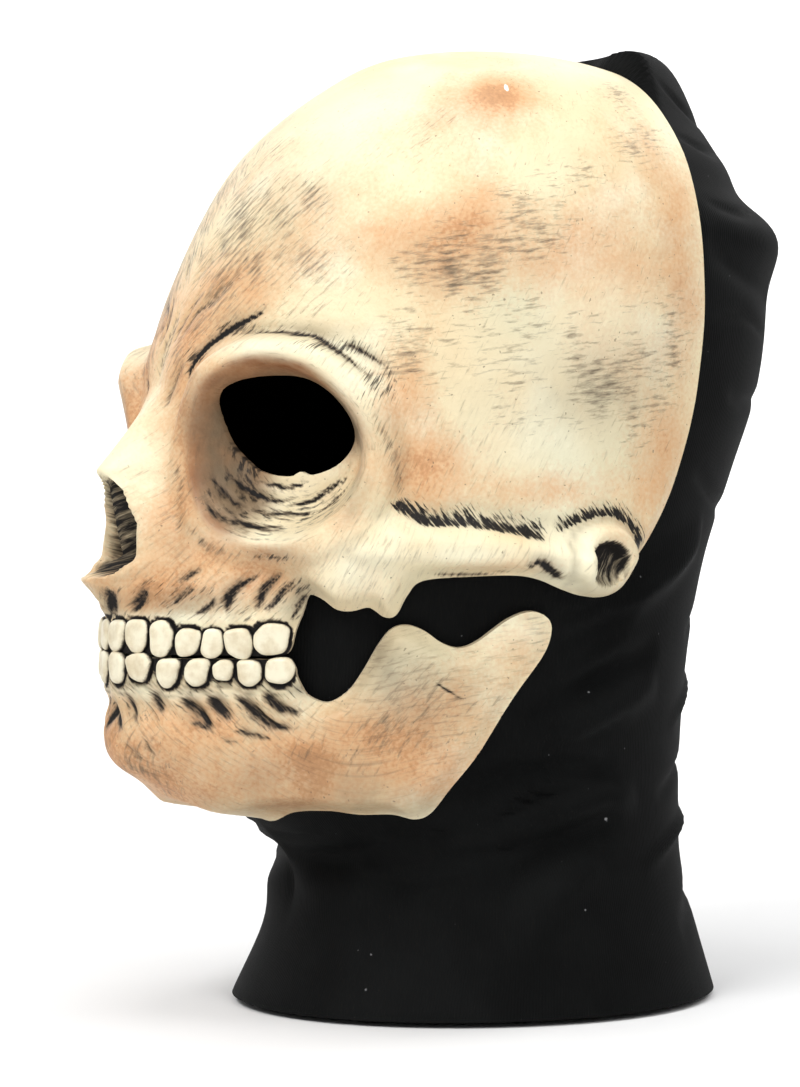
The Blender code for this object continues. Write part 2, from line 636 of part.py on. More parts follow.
def build_casting(name, gap, last_station, holes, target, finish):
    """One latex casting: its outline and holes are cut from the chart, then it is shaped."""
    disc, faces = chart_disc(grid_azimuths(CAST_GRID), CAST_RING, last_station)
    for cut in (gap,) + holes:
        disc, faces = clip(disc, faces, cut)
    azimuth, station = chart_of(disc)
    border = np.maximum(gap(azimuth, station), 0)
    points = cast_points(azimuth, station, border)
    return new_object(name, points, faces, LATEX_WALL, target, finish)


def build_hood():
    """The knitted hood, open at the face and at the hem."""
    disc, faces = chart_disc(grid_azimuths(HOOD_GRID), HOOD_RING, HEM_STATION)
    disc, faces = clip(disc, faces, opening_gap)
    points = cloth_points(*chart_of(disc))
    return new_object("hood", points, faces, CLOTH_WALL, HOOD_FACES, BLACK_KNIT)


def main():
    clear_objects()
    build_casting("skull_shell", skull_gap, SKULL_LAST_STATION, (eye_hole_gap,), SKULL_FACES,
                  AGED_BONE)
    build_casting("jaw_shell", jaw_gap, JAW_LAST_STATION, (), JAW_FACES, JAW_BONE)
    build_hood()


main()
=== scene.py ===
# %% [markdown]
# # A skull mask on a stretch hood
# The mask is two thin latex castings, a skull and a jaw, glued to a black jersey hood. The
# hood is pulled over the head and shows through between the bones. This notebook dresses the
# plain CAD solids: it builds the same forms again on a fine grid, adds the creases, teeth and
# loose cloth that are too small for the solids, and paints them.

# %% Load the CAD frame
import math
from collections import namedtuple

import bpy
import numpy as np
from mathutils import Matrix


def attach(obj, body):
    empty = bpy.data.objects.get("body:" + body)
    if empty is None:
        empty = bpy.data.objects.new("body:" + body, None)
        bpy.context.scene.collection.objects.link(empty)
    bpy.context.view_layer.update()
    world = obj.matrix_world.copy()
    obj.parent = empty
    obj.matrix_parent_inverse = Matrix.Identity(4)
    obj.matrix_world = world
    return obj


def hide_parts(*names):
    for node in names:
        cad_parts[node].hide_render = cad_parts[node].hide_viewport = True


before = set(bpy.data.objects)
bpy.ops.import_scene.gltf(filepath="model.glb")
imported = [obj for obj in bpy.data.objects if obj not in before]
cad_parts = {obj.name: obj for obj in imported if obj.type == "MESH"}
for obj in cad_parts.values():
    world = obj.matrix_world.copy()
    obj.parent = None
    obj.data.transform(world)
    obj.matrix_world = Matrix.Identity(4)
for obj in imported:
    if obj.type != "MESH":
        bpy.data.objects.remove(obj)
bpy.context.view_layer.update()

print("CAD nodes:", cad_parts)

# %% [markdown]
# ## One chart for the whole head
# The castings and the hood all follow one head, so they are drawn on one chart of it. A place
# on the chart has an azimuth in degrees, 0 at the nose and 180 at the nape, and a station, 0 at
# the crown and 13 at the hem. A head could also be sculpted freely, but on a chart every crease
# can be placed by two numbers and stays where it is when the head gets wider or longer. The
# tables repeat the sizes that the CAD solids were made from, in metres.

# %% Sizes of the head and the hood
HOOD_WIDTH = 0.151
HOOD_LENGTH = 0.195
HOOD_DROP = 0.285
CLOTH_WALL = 0.0014
FOLD_RISE = 0.010
LATEX_WALL = 0.0020
SEAT_GAP = 0.0012
BONE_REACH = 0.020
BONE_RISE = 0.010
STATION = HOOD_DROP / 11
BORDER_ROLL = 0.005
HEM_STATION = 13.0
DEGREES_A_STATION = 17.0
SKULL_LAST_STATION = 9.2
JAW_LAST_STATION = 11.2
MILLIMETRE = 0.001
DEEP_INSIDE = 9.0

Section = namedtuple("Section", "level half_width front middle back")
HOOD_SECTIONS = (
    Section(0.000, 0.000, 0.040, 0.04, 0.040),
    Section(-0.012, 0.150, -0.130, 0.04, 0.200),
    Section(-0.047, 0.300, -0.235, 0.04, 0.325),
    Section(-0.103, 0.415, -0.335, 0.04, 0.415),
    Section(-0.175, 0.480, -0.410, 0.04, 0.470),
    Section(-0.260, 0.500, -0.465, 0.04, 0.490),
    Section(-0.351, 0.492, -0.495, 0.03, 0.475),
    Section(-0.442, 0.472, -0.500, 0.02, 0.425),
    Section(-0.533, 0.452, -0.505, 0.01, 0.375),
    Section(-0.625, 0.428, -0.505, 0.00, 0.350),
    Section(-0.716, 0.405, -0.490, 0.00, 0.340),
    Section(-0.800, 0.385, -0.380, 0.02, 0.338),
    Section(-0.877, 0.385, -0.310, 0.04, 0.345),
    Section(-1.000, 0.450, -0.385, 0.03, 0.395),
)
print(len(HOOD_SECTIONS), "sections from crown to hem")

# %% Smooth curves through tables
def cubic(before, here, after, beyond, t):
    """Catmull-Rom: the cubic from here to after, over t from 0 to 1, whose slope at each end
    is half the rise from the value before that end to the value beyond it."""
    return 0.5 * (2 * here + (after - before) * t
                  + (2 * before - 5 * here + 4 * after - beyond) * t ** 2
                  + (3 * here - before - 3 * after + beyond) * t ** 3)


def glide(rows, where):
    """Value at fractional row numbers, on the cubic through the four rows around them."""
    rows = np.asarray(rows, float)
    last = len(rows) - 1
    where = np.clip(where, 0, last)
    row = np.minimum(where.astype(int), last - 1)
    t = (where - row)[..., None]
    before, here = rows[np.maximum(row - 1, 0)], rows[row]
    after, beyond = rows[row + 1], rows[np.minimum(row + 2, last)]
    return cubic(before, here, after, beyond, t)


def smooth_step(value):
    """S curve: 3 value squared less 2 value cubed, held at 0 and 1 outside that range."""
    value = np.clip(value, 0, 1)
    return value * value * (3 - 2 * value)


def bell(distance):
    """Bell curve: e to the power of minus the distance squared."""
    return np.exp(-np.square(distance))


print("half of the way up the S curve:", smooth_step(0.5))

# %% [markdown]
# The hood is an oval at every station, with a longer half behind the ears than in front. Its
# outward normals come from the cross product of two small steps on the chart, which is easier
# than working out derivatives and just as smooth.

# %% Form of the head under the cloth
def section_at(station):
    """Sizes of the oval at a station. A section mirrored past the crown keeps it round."""
    first = HOOD_SECTIONS[1]
    mirrored = Section(first.level, -first.half_width, first.back, first.middle, first.front)
    return np.moveaxis(glide((mirrored,) + HOOD_SECTIONS, station + 1), -1, 0)


def hood_points(azimuth, station):
    """x is the half width times the sine of the azimuth. y is the middle less the reach times
    the cosine, with one reach in front and one behind. z is the level."""
    level, half_width, front, middle, back = section_at(station)
    turn = np.radians(azimuth)
    reach = np.where(np.cos(turn) > 0, middle - front, back - middle)
    return np.stack([HOOD_WIDTH * half_width * np.sin(turn),
                     HOOD_LENGTH * (middle - reach * np.cos(turn)),
                     HOOD_DROP * level + CLOTH_WALL], -1)


def hood_normals(azimuth, station):
    """Unit cross product of a small step down and a small step across."""
    station = np.maximum(station, 0.02)
    step = 0.01
    across = hood_points(azimuth + 60 * step, station) - hood_points(azimuth - 60 * step, station)
    down = hood_points(azimuth, station + step) - hood_points(azimuth, station - step)
    normal = np.cross(down, across)
    return normal / np.linalg.norm(normal, axis=-1, keepdims=True)


print("widest point of the head:", np.round(hood_points(np.array([90.0]), np.array([5.0])), 4))

# %% Distances on the chart
def chart_flat(azimuth, station):
    """Chart places spread out so that a unit is about one station both ways: azimuth without
    its sign over the degrees that are as long as a station, and station."""
    return np.stack([np.abs(azimuth) / DEGREES_A_STATION, station], -1)


def smooth_line(knots, samples=8):
    """Points of a smooth curve through chart knots."""
    where = np.linspace(0, len(knots) - 1, samples * (len(knots) - 1) + 1)
    return glide(knots, where)


def segment_distance(points, line):
    """Distance to the nearest piece of a broken line, and the share of the way along it: each
    point is dropped on each piece, held between its two ends, and the shortest drop counts."""
    start, run = line[:-1], np.diff(line, axis=0)
    squared = (run * run).sum(-1)
    gaps, places = [], []
    for some in np.array_split(points, max(1, len(points) * len(run) // 1000000)):
        reach = some[:, None, :] - start
        along = np.clip((reach * run).sum(-1) / squared, 0, 1)
        gap = np.linalg.norm(reach - along[..., None] * run, axis=-1)
        nearest = gap.argmin(1)
        rows = np.arange(len(some))
        gaps.append(gap[rows, nearest])
        places.append((nearest + along[rows, nearest]) / len(run))
    return np.concatenate(gaps), np.concatenate(places)


def inside_gap(azimuth, station, outline, corners):
    """Distance inside an outline in stations, negative outside. A place is inside when a line
    from it to the side crosses the outline an odd number of times. The corners, on the flat
    chart, close the outline past the middle line."""
    line = smooth_line(outline, 6)
    edge = chart_flat(line[:, 0], line[:, 1])
    places = chart_flat(azimuth, station)
    gap, _ = segment_distance(places, edge)
    ring = np.vstack([edge, corners])
    after = np.roll(ring, -1, 0)
    rise = np.where(after[:, 1] == ring[:, 1], 1, after[:, 1] - ring[:, 1])
    inside = []
    for some in np.array_split(places, max(1, len(places) // 4000)):
        x, y = some[:, :1], some[:, 1:]
        crosses = (ring[:, 1] > y) != (after[:, 1] > y)
        left = x < ring[:, 0] + (y - ring[:, 1]) * (after[:, 0] - ring[:, 0]) / rise
        inside.append((crosses & left).sum(1) % 2 == 1)
    return np.where(np.concatenate(inside), gap, -gap)


print("a chart unit is", STATION, "m down the head")

# %% [markdown]
# ## Outlines of the castings
# On the real mask the skull is trimmed along the hairline behind, round the ears, and under the
# cheek bones, and the jaw is trimmed as a jaw bone with its two rear branches. Both are cut
# from the chart, as a sheet of latex is trimmed with scissors after it leaves the mould.

# %% Outlines on the chart
SKULL_OUTLINE = (
    (0, 9.02), (12, 9.02), (24, 9.02), (33, 9.02), (36.4, 9.00), (37.6, 8.90), (38.3, 8.74),
    (39.4, 8.55), (40.4, 8.36), (42.2, 8.38),
    (45.0, 8.50), (48.0, 8.52), (51.0, 8.48), (53.8, 8.58), (55.8, 8.55), (57.4, 8.34),
    (60.0, 8.19), (69.0, 8.15), (76.0, 8.14), (80.0, 8.19), (84.0, 8.29), (88.0, 8.37),
    (92.0, 8.36), (95.5, 8.27), (98.5, 8.11), (104.0, 7.72), (108.0, 7.20), (109.6, 6.50),
    (109.2, 5.50), (109.0, 4.60), (111.0, 3.50), (116.0, 2.45), (128.0, 1.60), (150.0, 1.05),
    (180.0, 0.93),
)
JAW_OUTLINE = (
    (0, 9.06), (12, 9.06), (24, 9.06), (33, 9.06), (36.8, 9.07), (38.2, 9.14), (38.8, 9.24),
    (39.6, 9.34), (41.0, 9.46), (44.1, 9.52),
    (47.8, 9.40), (50.4, 9.18), (52.9, 8.90), (55.2, 8.71), (57.9, 8.67), (61.1, 8.74),
    (64.2, 8.87), (67.3, 8.93), (70.5, 8.86), (75.3, 8.63), (78.9, 8.54), (81.8, 8.58),
    (83.4, 8.72), (82.6, 9.00), (78.3, 9.42), (71.3, 10.09), (62.9, 10.54), (57.0, 10.82),
    (52.9, 10.89), (48.7, 10.82), (41.3, 10.82), (34.2, 10.77), (24.5, 10.80), (14.0, 10.95),
    (7.0, 10.86), (0, 10.78),
)
FACE_OPENING = (
    (0, 5.40), (22, 5.42), (42, 5.62), (51, 6.20), (52.5, 6.80), (49, 7.30), (38, 7.75),
    (29, 8.30), (27, 9.00), (26, 9.60), (20, 9.95), (0, 10.05),
)


def skull_gap(azimuth, station):
    """Distance inside the skull's outline."""
    return inside_gap(azimuth, station, SKULL_OUTLINE, ((11, -1), (-4, -1), (-4, 9.02)))


def jaw_gap(azimuth, station):
    """Distance inside the jaw's outline."""
    return inside_gap(azimuth, station, JAW_OUTLINE, ((-4, 10.78), (-4, 9.06)))


def opening_gap(azimuth, station):
    """Distance outside the hood's face opening."""
    return -inside_gap(azimuth, station, FACE_OPENING, ((-4, 10.05), (-4, 5.40)))


print("skull outline:", len(SKULL_OUTLINE), "knots, jaw outline:", len(JAW_OUTLINE))

# %% [markdown]
# ## Bone form
# A skull's main masses are swellings and hollows of one smooth surface: how far the face stands
# off the head, bell-shaped bumps for cheek bones and chin, a bowl for each eye, a cavity for the
# nose, and a ridge for the cheek arch. Each is one formula, and the surface is their sum.

# %% Sizes and tables of the bone
SOCKET_WIDTH = 0.049
SOCKET_DEPTH = 0.013
SOCKET_TURN = 25.0
EYE_HOLE_WIDTH = 0.037
EYE_HOLE_HEIGHT = 0.029
EYE_HOLE_LIFT = 0.0078
EYE_HOLE_NICK = 0.09
NOSE_CAVITY_WIDTH = 0.025
NOSE_CAVITY_DEPTH = 0.011
NOSE_BONE_RISE = 0.0135
NOSE_SPINE_RISE = 0.0085
ARCH_HEIGHT = 0.011
ARCH_RISE = 0.0052
EAR_RING_WIDTH = 0.0156
EAR_RING_RISE = 0.0042
ROOT_RISE = 0.0012

StandOff = namedtuple("StandOff", "nose canine cheek outer temple ear")
STAND_OFF_AZIMUTHS = StandOff(0, 15, 30, 45, 65, 90)
NO_STAND_OFF = StandOff(0.00, 0.00, 0.00, 0.00, 0.00, 0.00)
JAW_STAND_OFF = StandOff(0.92, 0.85, 0.60, 0.35, 0.15, 0.00)
STAND_OFFS = (
    *[NO_STAND_OFF] * 5,
    StandOff(0.10, 0.10, 0.10, 0.06, 0.00, 0.00),
    StandOff(0.20, 0.20, 0.25, 0.25, 0.05, 0.00),
    StandOff(0.50, 0.35, 0.30, 0.35, 0.15, 0.05),
    StandOff(0.80, 0.55, 0.35, 0.40, 0.25, 0.15),
    StandOff(0.91, 0.70, 0.25, 0.20, 0.15, 0.05),
    StandOff(0.95, 0.75, 0.35, 0.25, 0.15, 0.05),
    *[JAW_STAND_OFF] * 3,
)

Spot = namedtuple("Spot", "azimuth station wide tall rise")
BONE_SPOTS = {
    "glabella": Spot(6, 5.75, 0.093, 0.066, 0.20),
    "cheekbone": Spot(49, 7.95, 0.093, 0.073, 0.50),
    "cheek_front_tip": Spot(45, 8.35, 0.046, 0.046, 0.30),
    "cheek_back_tip": Spot(55.5, 8.40, 0.040, 0.060, 0.30),
    "canine_hollow": Spot(33, 8.10, 0.073, 0.060, -0.50),
    "cheek_hollow": Spot(40, 8.55, 0.046, 0.066, -0.30),
    "lip_hollow": Spot(0, 9.62, 0.265, 0.040, -0.20),
    "chin_boss": Spot(0, 10.10, 0.106, 0.060, 0.32),
    "temple_hollow": Spot(72, 7.00, 0.172, 0.132, -0.08),
}
ARCH_LINE = ((50, 7.75), (57, 7.82), (64, 7.85), (72, 7.88), (80, 8.00), (85, 8.02))
GROOVE_LINE = ((53, 7.20), (60.5, 7.47), (68, 7.47), (76, 7.55), (83, 7.62), (88, 7.50))
EAR_PLACE = (90.5, 8.0)
SOCKET_PLACE = (32, 6.8)
GROOVE_SINK = 0.15

RimRise = namedtuple("RimRise", "bearing rise")
SOCKET_RIM = (
    RimRise(-180, 0.15),
    RimRise(-150, 0.10),
    RimRise(-90, 0.28),
    RimRise(-45, 0.30),
    RimRise(0, 0.40),
    RimRise(45, 0.62),
    RimRise(90, 0.72),
    RimRise(130, 0.75),
    RimRise(165, 0.30),
    RimRise(180, 0.15),
)

NoseRow = namedtuple("NoseRow", "station half_width bone")
NOSE_ROWS = (
    NoseRow(6.05, 0.00, 0.00),
    NoseRow(6.35, 0.00, 0.28),
    NoseRow(6.70, 0.00, 0.68),
    NoseRow(6.98, 0.04, 1.00),
    NoseRow(7.20, 0.27, 1.00),
    NoseRow(7.60, 0.46, 0.62),
    NoseRow(8.00, 0.50, 0.25),
    NoseRow(8.15, 0.36, 0.17),
    NoseRow(8.24, 0.00, 0.12),
    NoseRow(8.60, 0.00, 0.00),
)
print(len(BONE_SPOTS), "swellings and hollows on each half of the face")

# %% Bone before its relief
def stand_off(azimuth, station):
    """Height of the bone over the hood: the cubic down the table and then across it."""
    column = np.interp(np.abs(azimuth), STAND_OFF_AZIMUTHS, range(len(STAND_OFF_AZIMUTHS)))
    table = np.array(STAND_OFFS, float)
    table = np.hstack([table[:, 1:2], table, table[:, -1:]])
    by_station = glide(table, station)
    place = np.minimum(column.astype(int), len(STAND_OFF_AZIMUTHS) - 2)
    t = column - place

    def pick(offset):
        return np.take_along_axis(by_station, (place + offset)[..., None], -1)[..., 0]

    return BONE_REACH * cubic(pick(0), pick(1), pick(2), pick(3), t)


def bone_base(azimuth, station, border):
    """Hood point, plus the wall and its gap along the normal, plus the stand-off away from the
    head's middle. Behind the teeth the stand-off fades towards the casting's border."""
    normal = hood_normals(azimuth, station)
    turn = np.radians(azimuth)
    away = np.stack([np.sin(turn), -np.cos(turn), 0 * turn], -1)
    roll = smooth_step(border * STATION / BORDER_ROLL)
    free = smooth_step((44 - np.abs(azimuth)) / 6) * (station < 10.2)
    height = stand_off(azimuth, station) * np.maximum(roll, free)
    lift = normal * (SEAT_GAP + LATEX_WALL)
    return hood_points(azimuth, station) + lift + away * height[..., None], normal


def bone_place(azimuth, station):
    """One place of the bone with its side, up and outward directions."""
    azimuth, station = np.array([float(azimuth)]), np.array([float(station)])
    point, out = bone_base(azimuth, station, np.full(1, DEEP_INSIDE))
    side = np.cross((0, 0, 1), out[0])
    side /= np.linalg.norm(side)
    return point[0], side, np.cross(out[0], side), out[0]


def bone_line(knots):
    """Points in space of a smooth line over the bone."""
    return np.array([bone_place(*place)[0] for place in smooth_line(knots, 5)])


print("tip of the chin stands at", np.round(bone_place(0, 10.1)[0], 4))

# %% Relief of the bone
def spot_height(points, spot):
    """Bell curve of the distance from the spot, measured sideways in widths, upwards in
    heights and outwards in a much larger depth."""
    centre, side, up, out = bone_place(spot.azimuth, spot.station)
    reach = points - centre
    wide, tall = spot.wide * HOOD_WIDTH, spot.tall * HOOD_WIDTH
    deep = 2.5 * max(wide, tall)
    return np.exp(-((reach @ side / wide) ** 2 + (reach @ up / tall) ** 2
                    + (reach @ out / deep) ** 2))


def socket_place(points):
    """Reach outward and upward of the socket's middle, seen along its own axis, and whether
    the place lies on that side of the head."""
    centre = bone_place(*SOCKET_PLACE)[0]
    turn = math.radians(SOCKET_TURN)
    reach = points - centre
    outward = reach @ np.array([math.cos(turn), math.sin(turn), 0])
    in_front = reach @ np.array([math.sin(turn), -math.cos(turn), 0]) > -SOCKET_WIDTH
    return outward, reach[:, 2], in_front


def socket_relief(points):
    """Rim: the table's rise by bearing, times a flat-topped bell at 1.18 radii. Bowl: the
    depth, times an S curve that is full at 0.66 radii and ends at 1.08."""
    outward, upward, in_front = socket_place(points)
    bearing = np.degrees(np.arctan2(upward, outward))
    away = np.hypot(outward, upward) / (SOCKET_WIDTH / 2)
    rise = BONE_RISE * np.interp(bearing, [r.bearing for r in SOCKET_RIM],
                                 [r.rise for r in SOCKET_RIM])
    rim = rise * np.exp(-((away - 1.18) / 0.19) ** 4)
    bowl = SOCKET_DEPTH * smooth_step((1.08 - away) / 0.42)
    return rim * in_front, bowl * in_front


def nose_table(station, column):
    """A column of the nose table at each station, on straight lines between its rows."""
    rows = np.array(NOSE_ROWS)
    return np.interp(station, rows[:, 0], rows[:, column])


def face_share(points):
    """1 on the front of the head, with an S curve down to 0 towards its middle."""
    return smooth_step(-points[:, 1] / HOOD_LENGTH / 0.3 - 0.5)


def nose_cavity(points, station):
    """Depth of the nose cavity as a share: full in the middle, with a low wall that parts it
    into two, and none at its tabled half width."""
    x = np.abs(points[:, 0])
    half_width = NOSE_CAVITY_WIDTH * nose_table(station, 1)
    open_across = np.clip((1 - x / np.maximum(half_width, 1e-6)) / 0.35, 0, 1)
    open_down = smooth_step((station - 7.0) / 0.2) * smooth_step((8.2 - station) / 0.12)
    septum = 1 - 0.5 * bell(x / (0.09 * NOSE_CAVITY_WIDTH))
    return smooth_step(open_across) * open_down * septum * face_share(points)


def nose_relief(points, station):
    """Forward reach: a bell across for the nose bone, a bell along the cavity's edge for its
    rim, and a shelf for the spine below that runs out towards the teeth, less the cavity."""
    x = np.abs(points[:, 0])
    half_width = NOSE_CAVITY_WIDTH * nose_table(station, 1)
    bone = NOSE_BONE_RISE * nose_table(station, 2)
    reach = bone * bell(x / (0.34 * NOSE_CAVITY_WIDTH))
    rim_band = np.interp(station, (7.1, 7.4, 8.0, 8.2, 8.35), (0, 1, 1, 0.5, 0))
    rim_place = (x - half_width - 0.08 * NOSE_CAVITY_WIDTH) / (0.18 * NOSE_CAVITY_WIDTH)
    reach += 0.26 * NOSE_BONE_RISE * bell(rim_place) * rim_band
    shelf = np.interp(station, (7.96, 8.06, 8.22, 8.32, 8.46, 8.62), (0, 1, 1, 0.80, 0.50, 0.05))
    reach += 0.90 * NOSE_SPINE_RISE * shelf * bell(x / (0.44 * NOSE_CAVITY_WIDTH))
    return reach * face_share(points) - NOSE_CAVITY_DEPTH * nose_cavity(points, station)


def arch_relief(points):
    """Flat-topped bell along the cheek arch, less a bell along the groove above it."""
    gap, along = segment_distance(points, bone_line(ARCH_LINE))
    arch = ARCH_RISE * np.exp(-(gap / (ARCH_HEIGHT / 2)) ** 4)
    arch *= np.interp(along, (0, 0.15, 1), (0.6, 1, 1))
    gap, along = segment_distance(points, bone_line(GROOVE_LINE))
    groove = GROOVE_SINK * BONE_RISE * bell(gap / (0.36 * ARCH_HEIGHT))
    return arch - groove * np.sqrt(np.sin(math.pi * np.clip(along, 0.01, 0.99)))


def ear_away(points):
    """Distance from the middle of the ear ring, in ring radii."""
    return np.linalg.norm(points - bone_place(*EAR_PLACE)[0], axis=-1) / (EAR_RING_WIDTH / 2)


def ear_relief(points):
    """Flat-topped bell round the ring, and a round hole sunk in its middle."""
    away = ear_away(points)
    ring = np.exp(-((away - 1.05) / 0.38) ** 4)
    return EAR_RING_RISE * (ring - 0.40 * smooth_step((0.95 - away) / 0.32))


print("ring of the ear:", EAR_RING_WIDTH, "m across")

# %% [markdown]
# ## Creases, wrinkles and roots
# The sculptor pressed creases into the clay with a loop tool: round the brow, in the eye
# sockets, and between the roots of the teeth. Each is a soft groove along a line on the chart,
# and the same line later takes dark paint. Grooves in the mesh catch light from every side,
# which a painted line doesn't, so they are real relief as well as paint.

# %% Table of the creases
Crease = namedtuple("Crease", "knots width depth wash")
CREASES = {
    "brow_inner": Crease(((10.8, 5.98), (11.8, 5.80), (14.4, 5.62), (18.4, 5.47), (22.4, 5.36),
                          (26.1, 5.27)), 0.9, 1.6, 1.50),
    "roll_upper": Crease(((18.7, 5.50), (25.8, 5.49), (32.9, 5.52), (37.5, 5.55), (41.2, 5.67),
                          (44.6, 5.80), (48.3, 5.98)), 0.7, 1.2, 0.85),
    "roll_fork": Crease(((43.0, 5.62), (46.1, 5.70), (50.5, 5.86)), 0.7, 0.8, 0.80),
    "glabella_long": Crease(((5.8, 5.49), (7.4, 5.27), (11.4, 5.12), (14.7, 5.01)),
                            0.9, 0.9, 0.60),
    "glabella_low": Crease(((5.8, 6.28), (6.2, 6.08), (8.9, 5.82)), 0.9, 0.9, 0.60),
    "glabella_side": Crease(((3.2, 5.62), (4.0, 5.35), (7.0, 5.02)), 0.8, 0.7, 0.50),
    "glabella_middle": Crease(((0.0, 5.95), (0.8, 5.60), (0.0, 5.20)), 0.8, 0.7, 0.45),
    "forehead_long": Crease(((9.0, 5.36), (13.5, 5.02), (19.0, 4.72)), 0.8, 0.6, 0.45),
    "forehead_short": Crease(((2.0, 4.95), (5.0, 4.70), (9.5, 4.52)), 0.8, 0.5, 0.35),
    "temple_edge": Crease(((50.4, 6.40), (53.6, 6.86), (55.2, 7.27)), 1.5, 0.6, 0.35),
    "bag_1": Crease(((24.0, 7.12), (27.5, 7.16), (30.1, 7.18), (34.5, 7.12)), 0.7, 1.1, 1.00),
    "bag_2": Crease(((20.0, 7.08), (22.6, 7.22), (27.1, 7.33), (31.6, 7.31)), 0.8, 1.2, 1.00),
    "bag_3": Crease(((31.5, 7.38), (35.4, 7.33), (38.4, 7.20), (41.8, 7.07)), 0.8, 1.2, 1.00),
    "bag_4": Crease(((25.7, 7.44), (30.7, 7.49), (36.2, 7.47)), 0.7, 1.1, 0.90),
    "bag_5": Crease(((19.5, 7.38), (22.3, 7.52), (28.0, 7.62), (33.6, 7.64)), 0.9, 1.1, 0.85),
    "bag_6": Crease(((17.2, 7.02), (20.2, 7.26), (24.3, 7.44)), 0.7, 1.0, 0.80),
    "bag_7": Crease(((36.0, 7.50), (39.5, 7.36), (43.0, 7.16)), 0.7, 0.9, 0.70),
    "arch_under": Crease(((61.5, 8.12), (66.0, 8.13), (70.5, 8.12), (74.0, 8.08)), 0.6, 0.3, 0.62),
    "arch_notch": Crease(((76.0, 8.04), (78.1, 7.97), (80.2, 8.06), (82.7, 8.16)), 1.1, 1.5, 1.00),
    "cheek_line": Crease(((17.0, 7.62), (21.5, 7.84), (27.0, 7.93)), 1.6, 0.9, 0.35),
    "nose_side": Crease(((11.5, 6.90), (13.5, 7.30), (14.5, 7.75)), 1.8, 0.8, 0.25),
}
ROOTS = {
    "upper_1": Crease(((3.9, 8.30), (2.4, 8.47), (-0.6, 8.62)), 1.5, 2.0, 0.93),
    "upper_2": Crease(((9.6, 8.30), (8.0, 8.45), (6.6, 8.56)), 1.5, 2.0, 0.89),
    "upper_3": Crease(((19.6, 8.28), (16.9, 8.37), (15.2, 8.48)), 1.3, 1.9, 0.83),
    "upper_4": Crease(((23.4, 8.40), (21.8, 8.51), (19.4, 8.57)), 1.2, 1.8, 0.79),
    "upper_5": Crease(((30.0, 8.14), (26.4, 8.30), (25.3, 8.42), (25.2, 8.56)), 1.3, 2.0, 0.93),
    "upper_6": Crease(((35.4, 8.10), (31.7, 8.29), (31.0, 8.41), (30.2, 8.53)), 1.2, 1.9, 0.93),
    "upper_7": Crease(((38.0, 8.20), (35.4, 8.33), (33.8, 8.45), (32.1, 8.54)), 1.1, 1.8, 0.93),
    "upper_8": Crease(((40.2, 8.34), (38.4, 8.50), (37.6, 8.64)), 0.9, 1.4, 0.89),
    "upper_9": Crease(((20.6, 8.08), (18.1, 8.16), (16.0, 8.25)), 0.9, 1.4, 0.70),
    "lower_1": Crease(((-1.6, 9.49), (0.0, 9.66), (3.9, 9.84)), 1.5, 2.0, 0.93),
    "lower_2": Crease(((4.7, 9.46), (5.8, 9.58), (7.6, 9.75)), 1.3, 1.9, 0.83),
    "lower_3": Crease(((11.2, 9.42), (12.3, 9.53), (13.7, 9.68)), 1.2, 1.6, 0.75),
    "lower_4": Crease(((17.3, 9.49), (19.1, 9.59), (20.9, 9.68), (22.8, 9.82)), 1.5, 2.2, 0.93),
    "lower_5": Crease(((22.2, 9.47), (23.7, 9.58), (26.2, 9.73)), 1.5, 2.0, 0.93),
    "lower_6": Crease(((27.2, 9.46), (30.1, 9.61), (33.5, 9.75), (38.2, 9.81)), 1.5, 2.2, 0.93),
    "lower_7": Crease(((32.4, 9.43), (35.4, 9.58), (40.0, 9.63)), 1.5, 2.0, 0.93),
    "lower_8": Crease(((27.0, 9.83), (29.8, 9.87), (33.8, 9.91)), 0.9, 1.2, 0.79),
    "lower_9": Crease(((18.8, 9.73), (20.6, 9.78), (22.4, 9.82)), 0.6, 0.8, 0.70),
    "lower_10": Crease(((24.0, 9.91), (25.7, 9.94), (27.5, 9.96)), 0.6, 0.7, 0.56),
    "chin_1": Crease(((9.8, 9.93), (10.0, 10.02), (10.4, 10.10)), 0.6, 0.8, 0.56),
    "chin_2": Crease(((4.8, 9.94), (6.2, 10.03), (7.8, 10.12)), 0.6, 0.8, 0.56),
    "jaw_nick": Crease(((63.5, 9.30), (66.0, 9.40), (68.6, 9.52)), 0.5, 0.7, 0.89),
}
print(len(CREASES), "creases and", len(ROOTS), "root grooves on each side")

# %% Grooves along the creases
CREASE_REACH = 0.4


def crease_marks(azimuth, station, table):
    """Groove depth in metres, black share and grey share. Along a crease all taper with the
    root of a sine. Across it they fall off on bell curves: the black within the crease's
    width, the grey within two and a half. The groove is a narrow bell in a wide one."""
    places = chart_flat(azimuth, station)
    depth, black, grey = np.zeros((3, len(station)))
    for crease in table.values():
        knots = np.array(crease.knots)
        flat = chart_flat(knots[:, 0], knots[:, 1])
        near = np.all((places > flat.min(0) - CREASE_REACH)
                      & (places < flat.max(0) + CREASE_REACH), axis=1)
        if not near.any():
            continue
        line = smooth_line(knots, 5)
        gap, along = segment_distance(places[near], line / (DEGREES_A_STATION, 1))
        taper = np.sqrt(np.sin(math.pi * np.clip(along, 0.03, 0.97)))
        width = crease.width * MILLIMETRE / STATION * (0.5 + 0.5 * taper)
        groove = (0.6 * bell(gap / (1.3 * width)) + 0.4 * bell(gap / (2.8 * width))) * taper
        depth[near] = np.maximum(depth[near], crease.depth * MILLIMETRE * groove)
        paint = np.clip(1.5 * bell(gap / (0.85 * width)) * taper, 0, 1)
        black[near] = np.maximum(black[near], crease.wash * paint)
        halo = bell(gap / (2.5 * width)) * taper
        grey[near] = np.maximum(grey[near], min(crease.wash, 1) * halo)
    return depth, black, grey


